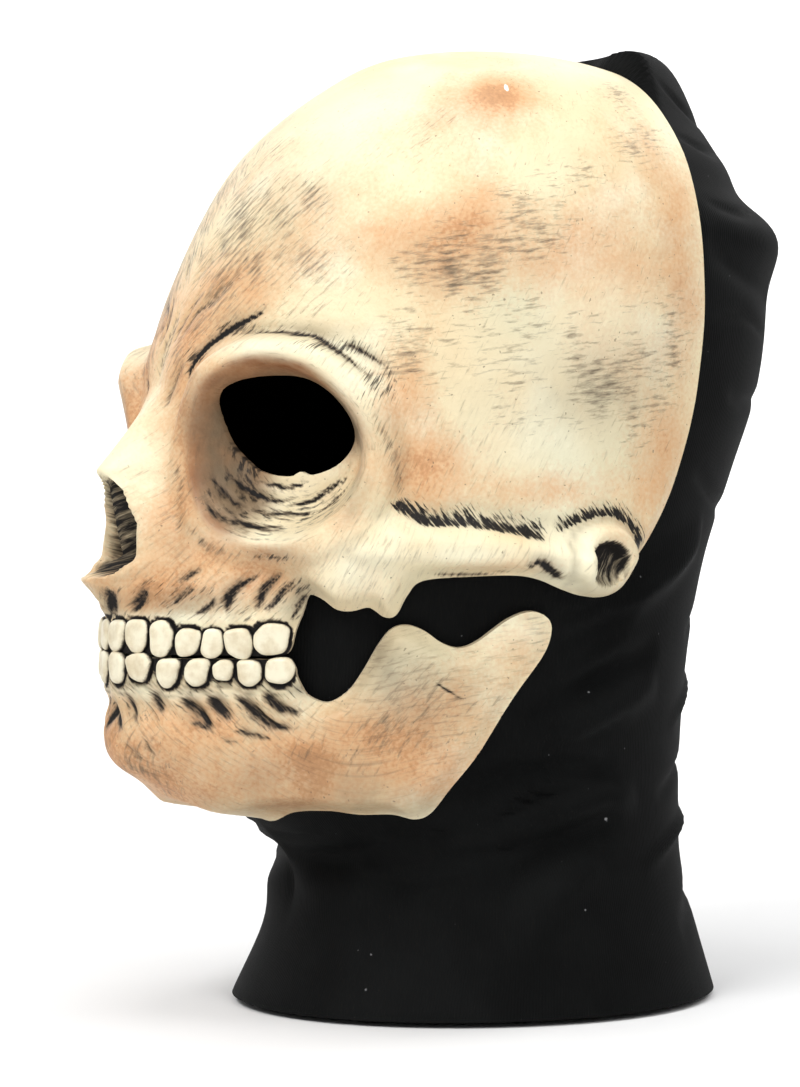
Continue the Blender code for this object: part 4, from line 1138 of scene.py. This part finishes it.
def noise(tree, vector, scale, detail=2.0, roughness=0.5):
    """Value of a noise, about 0.5 in the middle."""
    node = tree.nodes.new("ShaderNodeTexNoise")
    link_into(tree, node.inputs["Vector"], vector)
    for socket, value in (("Scale", scale), ("Detail", detail), ("Roughness", roughness)):
        link_into(tree, node.inputs[socket], value)
    return node.outputs[0]


def turned(tree, vector, degrees):
    """Vector turned about its third axis."""
    node = tree.nodes.new("ShaderNodeVectorRotate")
    node.rotation_type = "Z_AXIS"
    link_into(tree, node.inputs["Vector"], vector)
    node.inputs["Angle"].default_value = math.radians(degrees)
    return node.outputs[0]


def stretched(tree, vector, scale):
    """Vector with each of its numbers times its own scale."""
    node = tree.nodes.new("ShaderNodeVectorMath")
    node.operation = "MULTIPLY"
    link_into(tree, node.inputs[0], vector)
    link_into(tree, node.inputs[1], scale)
    return node.outputs[0]


def mix_colour(tree, share, first, second):
    """Colour between two colours."""
    node = tree.nodes.new("ShaderNodeMix")
    node.data_type = "RGBA"
    link_into(tree, node.inputs["Factor"], share)
    link_into(tree, node.inputs["A"], first)
    link_into(tree, node.inputs["B"], second)
    return node.outputs["Result"]


def paint_over(tree, below, mask, strength, paint):
    """Colour below with a paint mixed over it by a mask times a strength."""
    return mix_colour(tree, math_node(tree, "MULTIPLY", mask, strength), below, paint)


def object_place(tree):
    """Place on the object in metres, for patterns that don't follow the surface."""
    return tree.nodes.new("ShaderNodeTexCoord").outputs["Object"]


def add_bump(tree, shader, height, strength, distance):
    """Small relief on the shader's normal from a height between 0 and 1."""
    node = tree.nodes.new("ShaderNodeBump")
    node.inputs["Strength"].default_value = strength
    node.inputs["Distance"].default_value = distance
    tree.links.new(height, node.inputs["Height"])
    tree.links.new(node.outputs[0], shader.inputs["Normal"])


def layer(tree, name, output="Fac"):
    """Numbers that the mesh carries under a name."""
    node = tree.nodes.new("ShaderNodeAttribute")
    node.attribute_name = name
    return node.outputs[output]


def new_group(name, inputs, outputs):
    """Empty node group with named sockets, and its two ends."""
    group = bpy.data.node_groups.new(name, "ShaderNodeTree")
    for socket, kind in inputs:
        group.interface.new_socket(socket, in_out="INPUT", socket_type=kind)
    for socket, kind in outputs:
        group.interface.new_socket(socket, in_out="OUTPUT", socket_type=kind)
    return group, group.nodes.new("NodeGroupInput"), group.nodes.new("NodeGroupOutput")


print("helpers for nodes are ready")

# %% Brush strokes and specks
FLOAT, VECTOR = "NodeSocketFloat", "NodeSocketVector"
STROKES, ends, out = new_group(
    "brush_strokes", (("Place", VECTOR), ("Share", FLOAT), ("Stretch", VECTOR),
                      ("Softness", FLOAT)), (("Mask", FLOAT),))
long_hairs = stretched(STROKES, ends.outputs["Place"], ends.outputs["Stretch"])
hairs = map_range(STROKES, noise(STROKES, long_hairs, 1.0, 3.0, 0.62), 0.30, 0.70)
lifted = map_range(STROKES, plain_sum(STROKES, hairs, ends.outputs["Share"]), 1.0,
                   plain_sum(STROKES, ends.outputs["Softness"], 1.0))
present = map_range(STROKES, ends.outputs["Share"], 0.02, 0.15)
STROKES.links.new(math_node(STROKES, "MULTIPLY", lifted, present), out.inputs["Mask"])

SPECKS, ends, out = new_group(
    "fine_specks", (("Place", VECTOR), ("Scale", FLOAT), ("Rarity", FLOAT)), (("Mask", FLOAT),))
grain = noise(SPECKS, ends.outputs["Place"], ends.outputs["Scale"], 1.0, 0.5)
top = math_node(SPECKS, "ADD", ends.outputs["Rarity"], 0.06)
SPECKS.links.new(map_range(SPECKS, grain, ends.outputs["Rarity"], top), out.inputs["Mask"])


def use_group(tree, group, **values):
    """Place a group in a material. Its sockets take numbers or links by name."""
    node = tree.nodes.new("ShaderNodeGroup")
    node.node_tree = group
    for socket, value in values.items():
        link_into(tree, node.inputs[socket], value)
    return node.outputs[0]


def new_material(name, colour):
    """Material with its shader, and the colour that a plain view shows."""
    material = bpy.data.materials.new(name)
    material.use_nodes = True
    material.diffuse_color = (*colour, 1)
    return material, material.node_tree, material.node_tree.nodes["Principled BSDF"]


print("groups:", [group.name for group in bpy.data.node_groups])

# %% [markdown]
# ## Painted latex
# From the bottom up: ivory with soft cloudy changes, tan patches with a grainy airbrushed edge,
# places wiped back to the ivory together with painted highlights on the tops of the cheek bone,
# brow and arch, rust and grey together with painted shade under the brow, inside the sockets
# and along the lower jaw, grey-brown streaks dragged along the head, dark strokes above the cheek
# arch and in the sockets, wash in the creases, brown at its edges and black in its middle, one
# small white spot, and fine specks. Latex is a little shiny where the wash has been wiped off
# and dull where it stays.

# %% Painted latex
IVORY = (0.800, 0.705, 0.470, 1)
CREAM = (0.760, 0.600, 0.370, 1)
PALE = (0.840, 0.800, 0.600, 1)
MIST = (0.580, 0.570, 0.400, 1)
# Pale for wiped places and for painted highlights.
WIPED_AND_HIGHLIGHT = (0.870, 0.840, 0.640, 1)
# Near white for one small spot.
WHITE_SPOT = (0.950, 0.930, 0.860, 1)
TAN = (0.640, 0.320, 0.140, 1)
# Rust for the deepest tan and for the brown in the sockets, which is partly painted shade under
# the brow.
RUST = (0.260, 0.105, 0.042, 1)
STREAK_GREY = (0.120, 0.090, 0.060, 1)
WASH_BROWN = (0.125, 0.085, 0.052, 1)
WASH_BLACK = (0.012, 0.010, 0.009, 1)
# Grey for grey paint and for painted shade.
SHADE_GREY = (0.170, 0.135, 0.085, 1)


def painted_latex(name):
    """All paint layers of a casting, each mixed over the one before by its own mask."""
    material, tree, shader = new_material(name, IVORY[:3])
    chart = layer(tree, "chart", "Vector")
    place = object_place(tree)
    colour = mix_colour(tree, map_range(tree, noise(tree, place, 22.0, 3.0), 0.35, 0.65),
                        IVORY, CREAM)
    colour = mix_colour(tree, map_range(tree, noise(tree, turned(tree, place, 40), 34.0, 2.0),
                                        0.52, 0.70, 0.0, 0.7), colour, PALE)
    colour = mix_colour(tree, map_range(tree, noise(tree, turned(tree, place, 75), 19.0, 3.0),
                                        0.50, 0.72, 0.0, 0.5), colour, MIST)

    grainy = map_range(tree, noise(tree, place, 900.0, 1.0), 0.25, 0.75, -0.14, 0.14)
    cloudy = map_range(tree, noise(tree, place, 48.0, 4.0, 0.62), 0.30, 0.70, -0.30, 0.24)
    tan = plain_sum(tree, plain_sum(tree, layer(tree, "tan"), grainy), cloudy)
    colour = mix_colour(tree, map_range(tree, tan, 0.12, 1.00, 0.0, 0.92), colour, TAN)
    colour = mix_colour(tree, map_range(tree, tan, 0.85, 1.25, 0.0, 0.45), colour, RUST)
    blotches = map_range(tree, noise(tree, place, 130.0, 3.0), 0.3, 0.7, 0.62, 1.0)
    # The wiped layer also holds painted highlights, and the brown and the grey also hold painted
    # shade.
    for mask, paint in (("bare", WIPED_AND_HIGHLIGHT), ("brown", RUST), ("shade", SHADE_GREY)):
        colour = paint_over(tree, colour, layer(tree, mask), blotches, paint)

    clusters = map_range(tree, noise(tree, place, 75.0, 2.0), 0.30, 0.70, -0.26, 0.16)
    streak, slant = layer(tree, "streak"), layer(tree, "slant")
    streaks = use_group(tree, STROKES, Place=turned(tree, chart, -8),
                        Share=plain_sum(tree, streak, clusters),
                        Stretch=(190.0, 780.0, 1.0), Softness=0.70)
    slants = use_group(tree, STROKES, Place=turned(tree, chart, -50),
                       Share=plain_sum(tree, slant, clusters),
                       Stretch=(170.0, 780.0, 1.0), Softness=0.70)
    dragged = math_node(tree, "MAXIMUM", streaks, slants)
    smudge = math_node(tree, "MULTIPLY", math_node(tree, "MAXIMUM", streak, slant), blotches)
    colour = paint_over(tree, colour, smudge, 0.16, STREAK_GREY)
    colour = paint_over(tree, colour, dragged, 0.90, STREAK_GREY)

    grain = layer(tree, "grain", "Vector")
    furrows = use_group(tree, STROKES, Place=grain, Share=layer(tree, "furrow"),
                        Stretch=(170.0, 900.0, 1.0), Softness=0.35)
    hatching = use_group(tree, STROKES, Place=turned(tree, chart, 52),
                         Share=layer(tree, "hatch"), Stretch=(190.0, 1400.0, 1.0),
                         Softness=0.28)
    bristles = math_node(tree, "MAXIMUM", hatching, math_node(tree, "MULTIPLY", furrows, 0.9))
    colour = mix_colour(tree, bristles, colour, WASH_BLACK)
    combed = noise(tree, stretched(tree, grain, (170.0, 1000.0, 1.0)), 1.0, 3.0, 0.62)
    hairs = map_range(tree, combed, 0.28, 0.72, -0.42, 0.30)
    striae = math_node(tree, "MULTIPLY", map_range(tree, combed, 0.50, 0.62),
                       layer(tree, "striae"))
    colour = paint_over(tree, colour, striae, 0.34, WASH_BROWN)
    ragged = plain_sum(tree, layer(tree, "wash"), hairs)
    colour = mix_colour(tree, map_range(tree, ragged, 0.12, 0.55, 0.0, 0.75), colour, WASH_BROWN)
    black = map_range(tree, ragged, 0.46, 0.80)
    colour = mix_colour(tree, black, colour, WASH_BLACK)
    # One small white spot.
    white_spot_share = plain_sum(tree, layer(tree, "nick"), cloudy)
    colour = mix_colour(tree, map_range(tree, white_spot_share, 0.55, 0.70), colour, WHITE_SPOT)
    specks = use_group(tree, SPECKS, Place=place, Scale=850.0, Rarity=0.73)
    colour = paint_over(tree, colour, specks, 0.6, STREAK_GREY)
    tree.links.new(colour, shader.inputs["Base Color"])

    rough = map_range(tree, noise(tree, place, 60.0, 3.0), 0.3, 0.7, 0.38, 0.54)
    tree.links.new(math_node(tree, "MULTIPLY_ADD", black, 0.25, rough),
                   shader.inputs["Roughness"])
    height = plain_sum(tree, noise(tree, place, 230.0, 3.0, 0.6),
                       math_node(tree, "MULTIPLY", striae, -0.8))
    add_bump(tree, shader, height, 0.55, 0.0009)
    shader.inputs["Metallic"].default_value = 0.0
    shader.inputs["Specular IOR Level"].default_value = 0.20
    return material


def bare_latex():
    """Inner side and cut edge: unpainted cream latex with a faint cloudiness."""
    material, tree, shader = new_material("bare_latex", (0.62, 0.52, 0.36))
    place = object_place(tree)
    colour = mix_colour(tree, map_range(tree, noise(tree, place, 40.0, 3.0), 0.35, 0.65),
                        (0.66, 0.56, 0.40, 1), (0.55, 0.45, 0.30, 1))
    tree.links.new(colour, shader.inputs["Base Color"])
    shader.inputs["Roughness"].default_value = 0.6
    shader.inputs["Metallic"].default_value = 0.0
    return material


latex_finish = painted_latex("painted_latex")
bare_finish = bare_latex()
print("finishes:", latex_finish.name, "and", bare_finish.name)

# %% [markdown]
# ## The castings
# Both castings are built by the same steps from their own outlines. The first visible draft of
# a piece is always worth turning round in the viewport: the painted side should face outwards
# everywhere.

# %% Skull and jaw
skull = build_casting("skull_casting", skull_gap, SKULL_LAST_STATION, (eye_hole_gap,),
                      SKULL_LEANS, (latex_finish, bare_finish))
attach(skull, "root")
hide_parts("skull_shell")

jaw = build_casting("jaw_casting", jaw_gap, JAW_LAST_STATION, (), JAW_LEANS,
                    (latex_finish, bare_finish))
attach(jaw, "root")
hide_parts("jaw_shell")

# %% [markdown]
# ## Teeth
# A tooth is a rounded box: a ball whose sine and cosine are raised to a power below 1, which
# flattens its sides and keeps its corners round. All teeth of a row are worked out in one array
# and laid along the row's curve. Each tooth gets its own small lean and length from a fixed
# random draw, as hand-sculpted teeth have.

# %% Tooth finish
TOOTH_IVORY = (0.800, 0.740, 0.560, 1)
TOOTH_STAIN = (0.520, 0.400, 0.230, 1)


def tooth_enamel():
    """Ivory with yellower, darker clouds and ragged dark wash at the edges. The layer
    called edge is 0 at the tooth's most proud point and 1 where it meets the gum."""
    material, tree, shader = new_material("tooth_enamel", TOOTH_IVORY[:3])
    place = object_place(tree)
    edge = layer(tree, "edge")
    cloud = map_range(tree, noise(tree, place, 200.0, 3.0, 0.6), 0.40, 0.75)
    colour = paint_over(tree, TOOTH_IVORY, cloud, 0.7, TOOTH_STAIN)
    lifted = map_range(tree, noise(tree, place, 330.0, 3.0, 0.65), 0.25, 0.75, -0.30, 0.30)
    ragged = plain_sum(tree, edge, lifted)
    colour = mix_colour(tree, map_range(tree, ragged, 0.50, 0.85, 0.0, 0.8), colour, WASH_BROWN)
    colour = mix_colour(tree, map_range(tree, ragged, 0.76, 0.98), colour, WASH_BLACK)
    tree.links.new(colour, shader.inputs["Base Color"])
    tree.links.new(map_range(tree, edge, 0.0, 1.0, 0.32, 0.6), shader.inputs["Roughness"])
    add_bump(tree, shader, noise(tree, place, 320.0, 2.0), 0.5, 0.0006)
    shader.inputs["Metallic"].default_value = 0.0
    return material


tooth_finish = tooth_enamel()

# %% Rounded boxes along the row
TOOTH_TURNS = 36
TOOTH_RINGS = 16


def power_of(value, power):
    """Power that keeps the sign of its base."""
    return np.sign(value) * np.abs(value) ** power


def tooth_faces(each):
    """Triangles of one tooth: halved squares between its rings, and a fan round each of its
    last two points, the ends."""
    here = np.arange(TOOTH_TURNS)
    after = np.roll(here, -1)
    starts = (np.arange(TOOTH_RINGS - 1) * TOOTH_TURNS)[:, None]
    a, b = starts + here, starts + after
    c, d = a + TOOTH_TURNS, b + TOOTH_TURNS
    last = (TOOTH_RINGS - 1) * TOOTH_TURNS
    return np.vstack([np.stack([a, b, d], -1).reshape(-1, 3),
                      np.stack([a, d, c], -1).reshape(-1, 3),
                      np.stack([after, here, 0 * here + each - 2], -1),
                      np.stack([last + here, last + after, 0 * here + each - 1], -1)])


def build_teeth(name, teeth, seed):
    """Both sides of one row. With a turn and a tilt, a tooth's place is: across, the cosine of
    the tilt times the cosine of the turn; down, the same with the sine of the turn; out, the
    sine of the tilt. Each is raised to its power. Slow waves along the turn make it uneven."""
    draw = np.random.default_rng(seed)
    rows = np.array(teeth * 2)[:, :, None, None]
    near, far, top, bottom, taper = np.moveaxis(rows, 1, 0)
    side = np.repeat((1.0, -1.0), len(teeth))[:, None, None]
    count = len(side)
    lean, longer, proud, wave, second = draw.uniform(-1, 1, (5, count, 1, 1))
    turn = np.linspace(0, 2 * math.pi, TOOTH_TURNS, endpoint=False)[None, None, :]
    tilt = np.linspace(-math.pi / 2, math.pi / 2, TOOTH_RINGS + 2)[None, 1:-1, None]
    uneven = (1 + 0.045 * np.sin(2 * turn + 6 * wave) + 0.04 * np.sin(3 * turn + 6 * second)
              + 0.025 * np.sin(5 * turn + 9 * lean))
    across = 1.04 * power_of(np.cos(tilt), 0.45) * power_of(np.cos(turn), 0.72) * uneven
    down = 1.02 * power_of(np.cos(tilt), 0.45) * power_of(np.sin(turn), 0.72) * uneven
    out = power_of(np.sin(tilt), 0.85) + 0 * uneven

    def places(across, down, out):
        wide = (far - near) / 2 * (1 - taper * (down + 1) / 2 + 0.05 * np.maximum(-down, 0))
        azimuth = side * ((far + near) / 2 + wide * (across + 0.08 * lean * down))
        tall = (bottom - top) / 2 * (1 + 0.03 * longer)
        station = (bottom + top) / 2 + tall * down * (1 - 0.08 * across ** 2)
        dimple = 0.12 * bell((across - 0.25 * wave) / 0.3) * bell((down + 0.1) / 0.6)
        height = TOOTH_DEPTH * ((0.5 + 0.09 * proud) * out - dimple * np.maximum(out, 0))
        base, normal = bone_base(azimuth.ravel(), station.ravel(),
                                 np.full(azimuth.size, DEEP_INSIDE))
        swell = swellings(folded_over(base))
        points = base + normal * (swell + height.ravel())[:, None]
        return points.reshape(count, -1, 3)

    ends = np.array([-1.0, 1.0])[None, :, None] * np.ones((count, 1, 1))
    points = np.concatenate([places(across, down, out), places(0 * ends, 0 * ends, ends)], 1)
    each = points.shape[1]
    form = tooth_faces(each)
    outward = side.ravel() > 0
    faces = np.vstack([(form[:, ::-1] if outward[tooth] else form) + tooth * each
                       for tooth in range(count)])
    edge = np.concatenate([(1 - out).reshape(count, -1), np.tile((2.0, 0.0), (count, 1))], 1)
    piece = new_piece(name, points.reshape(-1, 3), faces, np.zeros(len(faces)),
                      {"edge": edge.ravel()}, (tooth_finish,))
    print(name, count, "teeth,", len(faces), "faces")
    return piece


upper_teeth = build_teeth("upper_teeth", UPPER_TEETH, 11)
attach(upper_teeth, "root")
lower_teeth = build_teeth("lower_teeth", LOWER_TEETH, 23)
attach(lower_teeth, "root")

# %% [markdown]
# ## The hood
# The hood is a tube of black jersey, sewn shut over the crown. Worn, it is stretched smooth
# over the head, bags out behind the crown where there is too much of it, and wrinkles round the
# neck where it is gathered by the chin and the shoulders. A cloth simulation could find such
# folds, but here they are placed on the chart where the real ones lie, in the same way as the
# creases, so that they agree with the solid under them.

# %% Tables of the folds
CLOTH_SPOTS = {
    "crown_puff": Spot(176, 1.62, 0.34, 0.120, 1.40),
    "back_dip": Spot(150, 3.55, 0.30, 0.050, -0.15),
    "back_bag": Spot(156, 4.25, 0.34, 0.075, 0.62),
}
Fold = namedtuple("Fold", "start middle end half_width rise")
CLOTH_FOLDS = {
    "bag_crease": Fold((112, 4.35), (127, 4.62), (150, 4.85), 0.040, -0.30),
    "nape_ridge": Fold((131, 7.70), (117, 8.10), (99, 8.62), 0.035, 0.40),
    "ear_fold": Fold((106, 8.55), (96, 8.72), (84, 8.95), 0.022, -0.25),
    "jaw_back_fold": Fold((118, 9.00), (98, 9.36), (80, 9.72), 0.028, -0.40),
    "jaw_back_ridge": Fold((120, 9.40), (100, 9.72), (84, 10.05), 0.032, 0.32),
    "throat_fold": Fold((104, 10.42), (86, 10.36), (62, 10.62), 0.028, -0.40),
    "throat_ridge": Fold((112, 10.75), (92, 10.82), (70, 11.10), 0.036, 0.34),
    "collar_fold": Fold((104, 10.95), (88, 11.25), (66, 12.10), 0.030, -0.32),
    "collar_ridge": Fold((96, 11.60), (82, 12.00), (60, 12.60), 0.036, 0.30),
    "front_fold": Fold((0, 11.55), (22, 11.62), (42, 11.35), 0.030, -0.30),
    "front_ridge": Fold((0, 11.95), (20, 12.05), (40, 12.05), 0.040, 0.30),
}
WRINKLES = {
    "crown_wrinkle_1": Fold((128, 1.95), (140, 2.35), (158, 2.50), 0.013, -0.16),
    "crown_wrinkle_2": Fold((118, 2.75), (132, 2.95), (150, 2.90), 0.012, -0.13),
    "bag_wrinkle_1": Fold((116, 3.85), (130, 3.95), (146, 3.75), 0.012, -0.15),
    "bag_wrinkle_2": Fold((114, 5.25), (128, 5.20), (148, 5.45), 0.013, -0.12),
    "nape_wrinkle_1": Fold((124, 6.10), (138, 6.20), (165, 6.00), 0.015, -0.12),
    "nape_wrinkle_2": Fold((118, 7.00), (134, 7.30), (160, 7.50), 0.015, -0.16),
    "ear_wrinkle_1": Fold((98, 8.35), (90, 8.58), (80, 8.66), 0.010, -0.14),
    "ear_wrinkle_2": Fold((112, 8.20), (102, 8.50), (90, 8.80), 0.011, 0.14),
    "ear_wrinkle_3": Fold((104, 8.80), (95, 8.98), (86, 9.25), 0.010, -0.14),
    "jaw_wrinkle_1": Fold((112, 9.30), (98, 9.55), (86, 9.85), 0.011, 0.16),
    "jaw_wrinkle_2": Fold((108, 9.75), (95, 10.00), (80, 10.20), 0.012, -0.18),
    "jaw_wrinkle_3": Fold((100, 10.20), (84, 10.55), (66, 10.95), 0.012, 0.16),
    "neck_wrinkle_1": Fold((96, 10.62), (80, 10.75), (62, 11.30), 0.012, -0.18),
    "neck_wrinkle_2": Fold((90, 11.05), (74, 11.40), (52, 11.55), 0.013, -0.16),
    "neck_wrinkle_3": Fold((70, 10.90), (55, 11.15), (36, 11.05), 0.012, -0.16),
    "neck_wrinkle_4": Fold((64, 11.55), (48, 11.80), (28, 11.70), 0.014, 0.16),
    "neck_wrinkle_5": Fold((0, 11.25), (16, 11.30), (32, 11.12), 0.012, -0.14),
    "back_wrinkle_1": Fold((180, 8.40), (160, 8.50), (136, 8.90), 0.016, -0.18),
    "back_wrinkle_2": Fold((180, 9.30), (158, 9.45), (130, 9.95), 0.017, 0.18),
    "back_wrinkle_3": Fold((176, 10.20), (150, 10.45), (122, 10.80), 0.017, -0.20),
    "back_wrinkle_4": Fold((170, 11.10), (142, 11.30), (112, 11.80), 0.018, 0.20),
    "back_wrinkle_5": Fold((180, 11.90), (154, 12.10), (126, 12.40), 0.018, -0.18),
}
print(len(CLOTH_FOLDS), "folds and", len(WRINKLES), "wrinkles on each side")

# %% Cloth from its folds
def fold_height(azimuth, station, fold):
    """Bell across the fold's line, times the sine of the way along it."""
    line = smooth_line((fold.start, fold.middle, fold.end))
    gap, along = segment_distance(chart_flat(azimuth, station),
                                  chart_flat(line[:, 0], line[:, 1]))
    half_width = fold.half_width * HOOD_WIDTH / STATION
    return bell(gap / half_width) * np.sin(math.pi * along)


def cloth_points(azimuth, station):
    """Hood point plus its normal times the sum of swellings, folds and wrinkles. None stands up
    where a casting lies on it. The two sides get slightly different wrinkles."""
    height = np.zeros(len(station))
    for spot in CLOTH_SPOTS.values():
        across = (np.abs(azimuth) - spot.azimuth) / DEGREES_A_STATION * STATION
        across *= np.clip(station / 4, 0.2, 1) / (spot.wide * HOOD_WIDTH)
        down = (station - spot.station) * STATION / (spot.tall * HOOD_WIDTH)
        height += spot.rise * np.exp(-across ** 2 - down ** 2)
    for fold in CLOTH_FOLDS.values():
        height += fold.rise * fold_height(azimuth, station, fold)
    drift = 0.10 * np.sin(np.radians(azimuth) * 2 + 1) * (azimuth < 0)
    for fold in WRINKLES.values():
        height += fold.rise * fold_height(azimuth, station + drift, fold)
    covered = np.maximum(skull_gap(azimuth, station), jaw_gap(azimuth, station))
    height *= FOLD_RISE * smooth_step(-covered * STATION / BORDER_ROLL)
    return hood_points(azimuth, station) + hood_normals(azimuth, station) * height[:, None]


print("highest fold:", max(f.rise for f in CLOTH_FOLDS.values()) * FOLD_RISE, "m")

# %% [markdown]
# Black jersey shows its knit as fine upright ribs, catches a soft light at its edges from the
# loose fibres, and picks up lint. The ribs follow the UV map, which is the chart in metres, so
# they run down the head as the knit does.

# %% Knit finish
KNIT_BLACK = (0.0018, 0.0020, 0.0020, 1)
KNIT_WORN = (0.0046, 0.0050, 0.0050, 1)
LINT = (0.45, 0.45, 0.46, 1)


def black_knit():
    """Nearly black, with paler worn clouds, rare specks of lint and a ribbed bump."""
    material, tree, shader = new_material("black_jersey", KNIT_BLACK[:3])
    place = object_place(tree)
    weave = tree.nodes.new("ShaderNodeUVMap")
    weave.uv_map = "chart_map"
    clouds = map_range(tree, noise(tree, place, 30.0, 4.0, 0.6), 0.35, 0.75)
    colour = mix_colour(tree, clouds, KNIT_BLACK, KNIT_WORN)
    specks = use_group(tree, SPECKS, Place=place, Scale=420.0, Rarity=0.80)
    colour = paint_over(tree, colour, specks, 0.5, LINT)
    tree.links.new(colour, shader.inputs["Base Color"])
    ribs = tree.nodes.new("ShaderNodeTexWave")
    tree.links.new(weave.outputs[0], ribs.inputs["Vector"])
    ribs.inputs["Scale"].default_value = 300.0
    ribs.inputs["Distortion"].default_value = 3.0
    ribs.inputs["Detail"].default_value = 1.0
    height = math_node(tree, "MULTIPLY_ADD", noise(tree, place, 700.0, 2.0), 0.5,
                       math_node(tree, "MULTIPLY", ribs.outputs["Fac"], 0.5))
    add_bump(tree, shader, height, 0.3, 0.0004)
    shader.inputs["Roughness"].default_value = 0.70
    shader.inputs["Metallic"].default_value = 0.0
    shader.inputs["Specular IOR Level"].default_value = 0.07
    return material


knit_finish = black_knit()

# %% Hood piece
disc, faces = chart_disc(all_round(HOOD_AZIMUTHS),
                         grid_lines(HOOD_STATIONS, 0.0, HEM_STATION)[1:])
disc, faces = clip(disc, faces, opening_gap)
azimuth, station = chart_of(disc)
points = cloth_points(azimuth, station)
walled, shell, _ = with_wall(points, hood_normals(azimuth, station), faces, CLOTH_WALL)
chart = chart_layer(azimuth, station)
hood = new_piece("knit_hood", walled, shell, np.zeros(len(shell)),
                 {"chart": np.concatenate([chart, chart])}, (knit_finish,))
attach(hood, "root")
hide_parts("hood")

corners = points[faces]
crossed = np.cross(corners[:, 1] - corners[:, 0], corners[:, 2] - corners[:, 0])
worn_area = np.linalg.norm(crossed, axis=1).sum() / 2
print("hood stretched over the head:", round(worn_area, 4), "square metres")

# %% [markdown]
# ## Floor, light and camera
# The hood stands on its hem on a pale floor that curves up into a backdrop, so no line crosses
# the picture. Soft lights in front of the face, above it and at the wearer's left give the main
# shape, a weak one on the far side opens the shadows, and one from behind draws the edge of the
# black cloth. A lamp of its own lights the backdrop, and none of them shows in the picture.

# %% Floor
FLOOR_LEVEL = -0.2855
VIEW_TURN = math.radians(62)


def sweep_stage():
    """Profile of floor, quarter circle and wall, carried along a straight line. The profile's
    turn is a circle's sine and cosine."""
    turn = np.linspace(0, math.pi / 2, 24)
    radius, back, front, wide, tall = 1.2, 2.6, -4.0, 8.0, 5.0
    run = np.concatenate([[front], back + radius * np.sin(turn), [back + radius]])
    rise = np.concatenate([[0], radius * (1 - np.cos(turn)), [tall]])
    ahead = np.array([-math.sin(VIEW_TURN), math.cos(VIEW_TURN), 0])
    side = np.array([ahead[1], -ahead[0], 0])
    places = (run[:, None, None] * ahead + np.array([-wide, wide])[None, :, None] * side)
    places[..., 2] = FLOOR_LEVEL + rise[:, None]
    count = len(run)
    row = np.arange(count - 1)[:, None] * 2
    quads = (row + np.array([[0, 1, 3, 2]])).tolist()
    mesh = bpy.data.meshes.new("studio_sweep")
    mesh.from_pydata(places.reshape(-1, 3).tolist(), [], quads)
    mesh.shade_smooth()
    stage = bpy.data.objects.new("studio_sweep", mesh)
    bpy.context.collection.objects.link(stage)
    material, _, shader = new_material("pale_floor", (0.9, 0.9, 0.9))
    shader.inputs["Base Color"].default_value = (0.80, 0.80, 0.80, 1)
    shader.inputs["Roughness"].default_value = 0.9
    mesh.materials.append(material)
    return stage


sweep_stage()
print("floor at", FLOOR_LEVEL, "m")

# %% Light
SoftLight = namedtuple("SoftLight", "name place size power")
HEAD_MIDDLE = np.array((0.0, -0.01, -0.13))
LIGHTS = (
    SoftLight("front_light", (0.55, -1.15, 1.05), 0.7, 18.0),
    SoftLight("side_light", (1.45, 0.05, 0.80), 1.0, 9.4),
    SoftLight("far_light", (-1.10, -0.50, 0.40), 1.0, 3.5),
    SoftLight("edge_light", (-0.20, 1.30, 0.90), 0.8, 8.0),
    SoftLight("top_light", (0.25, -0.10, 1.30), 0.9, 8.5),
)


def aim(item, place, target):
    """Put an object at a place and turn it so that its back axis points away from a target."""
    item.location = place
    away = np.asarray(place, float) - np.asarray(target, float)
    flat = math.hypot(away[0], away[1])
    item.rotation_euler = (math.atan2(flat, away[2]), 0.0, math.atan2(away[0], -away[1]))


BACKDROP_LIGHT = SoftLight("backdrop_light", (-1.2, 1.0, 1.9), 1.2, 95.0)
BACKDROP_MIDDLE = np.array((-3.2, 1.7, 0.4))
for soft in LIGHTS + (BACKDROP_LIGHT,):
    lamp = bpy.data.lights.new(soft.name, "AREA")
    lamp.shape = "DISK"
    lamp.size = soft.size
    lamp.energy = soft.power
    holder = bpy.data.objects.new(soft.name, lamp)
    holder.visible_camera = False
    bpy.context.collection.objects.link(holder)
    aim(holder, soft.place, BACKDROP_MIDDLE if soft is BACKDROP_LIGHT else HEAD_MIDDLE)

world = bpy.data.worlds.new("studio")
world.use_nodes = True
world.node_tree.nodes["Background"].inputs["Color"].default_value = (1.0, 1.0, 1.0, 1)
world.node_tree.nodes["Background"].inputs["Strength"].default_value = 0.33
bpy.context.scene.world = world
bpy.context.scene.view_settings.view_transform = "Standard"
print(len(LIGHTS), "soft lights and one for the backdrop")

# %% Camera
PICTURE_HEIGHT = 1087
FOCAL_PIXELS = 3240
SENSOR = 36.0
camera_data = bpy.data.cameras.new("camera")
camera_data.sensor_width = SENSOR
camera_data.lens = SENSOR * FOCAL_PIXELS / PICTURE_HEIGHT
camera_data.clip_start = 0.05
camera = bpy.data.objects.new("camera", camera_data)
bpy.context.collection.objects.link(camera)
VIEW_RISE, VIEW_DISTANCE = math.radians(1), 1.0
VIEW_TARGET = np.array((-0.01014, -0.01908, -0.1466))
direction = np.array((math.sin(VIEW_TURN) * math.cos(VIEW_RISE),
                      -math.cos(VIEW_TURN) * math.cos(VIEW_RISE), math.sin(VIEW_RISE)))
aim(camera, VIEW_TARGET + VIEW_DISTANCE * direction, VIEW_TARGET)
bpy.context.scene.camera = camera
print("lens", round(camera_data.lens, 1), "mm")
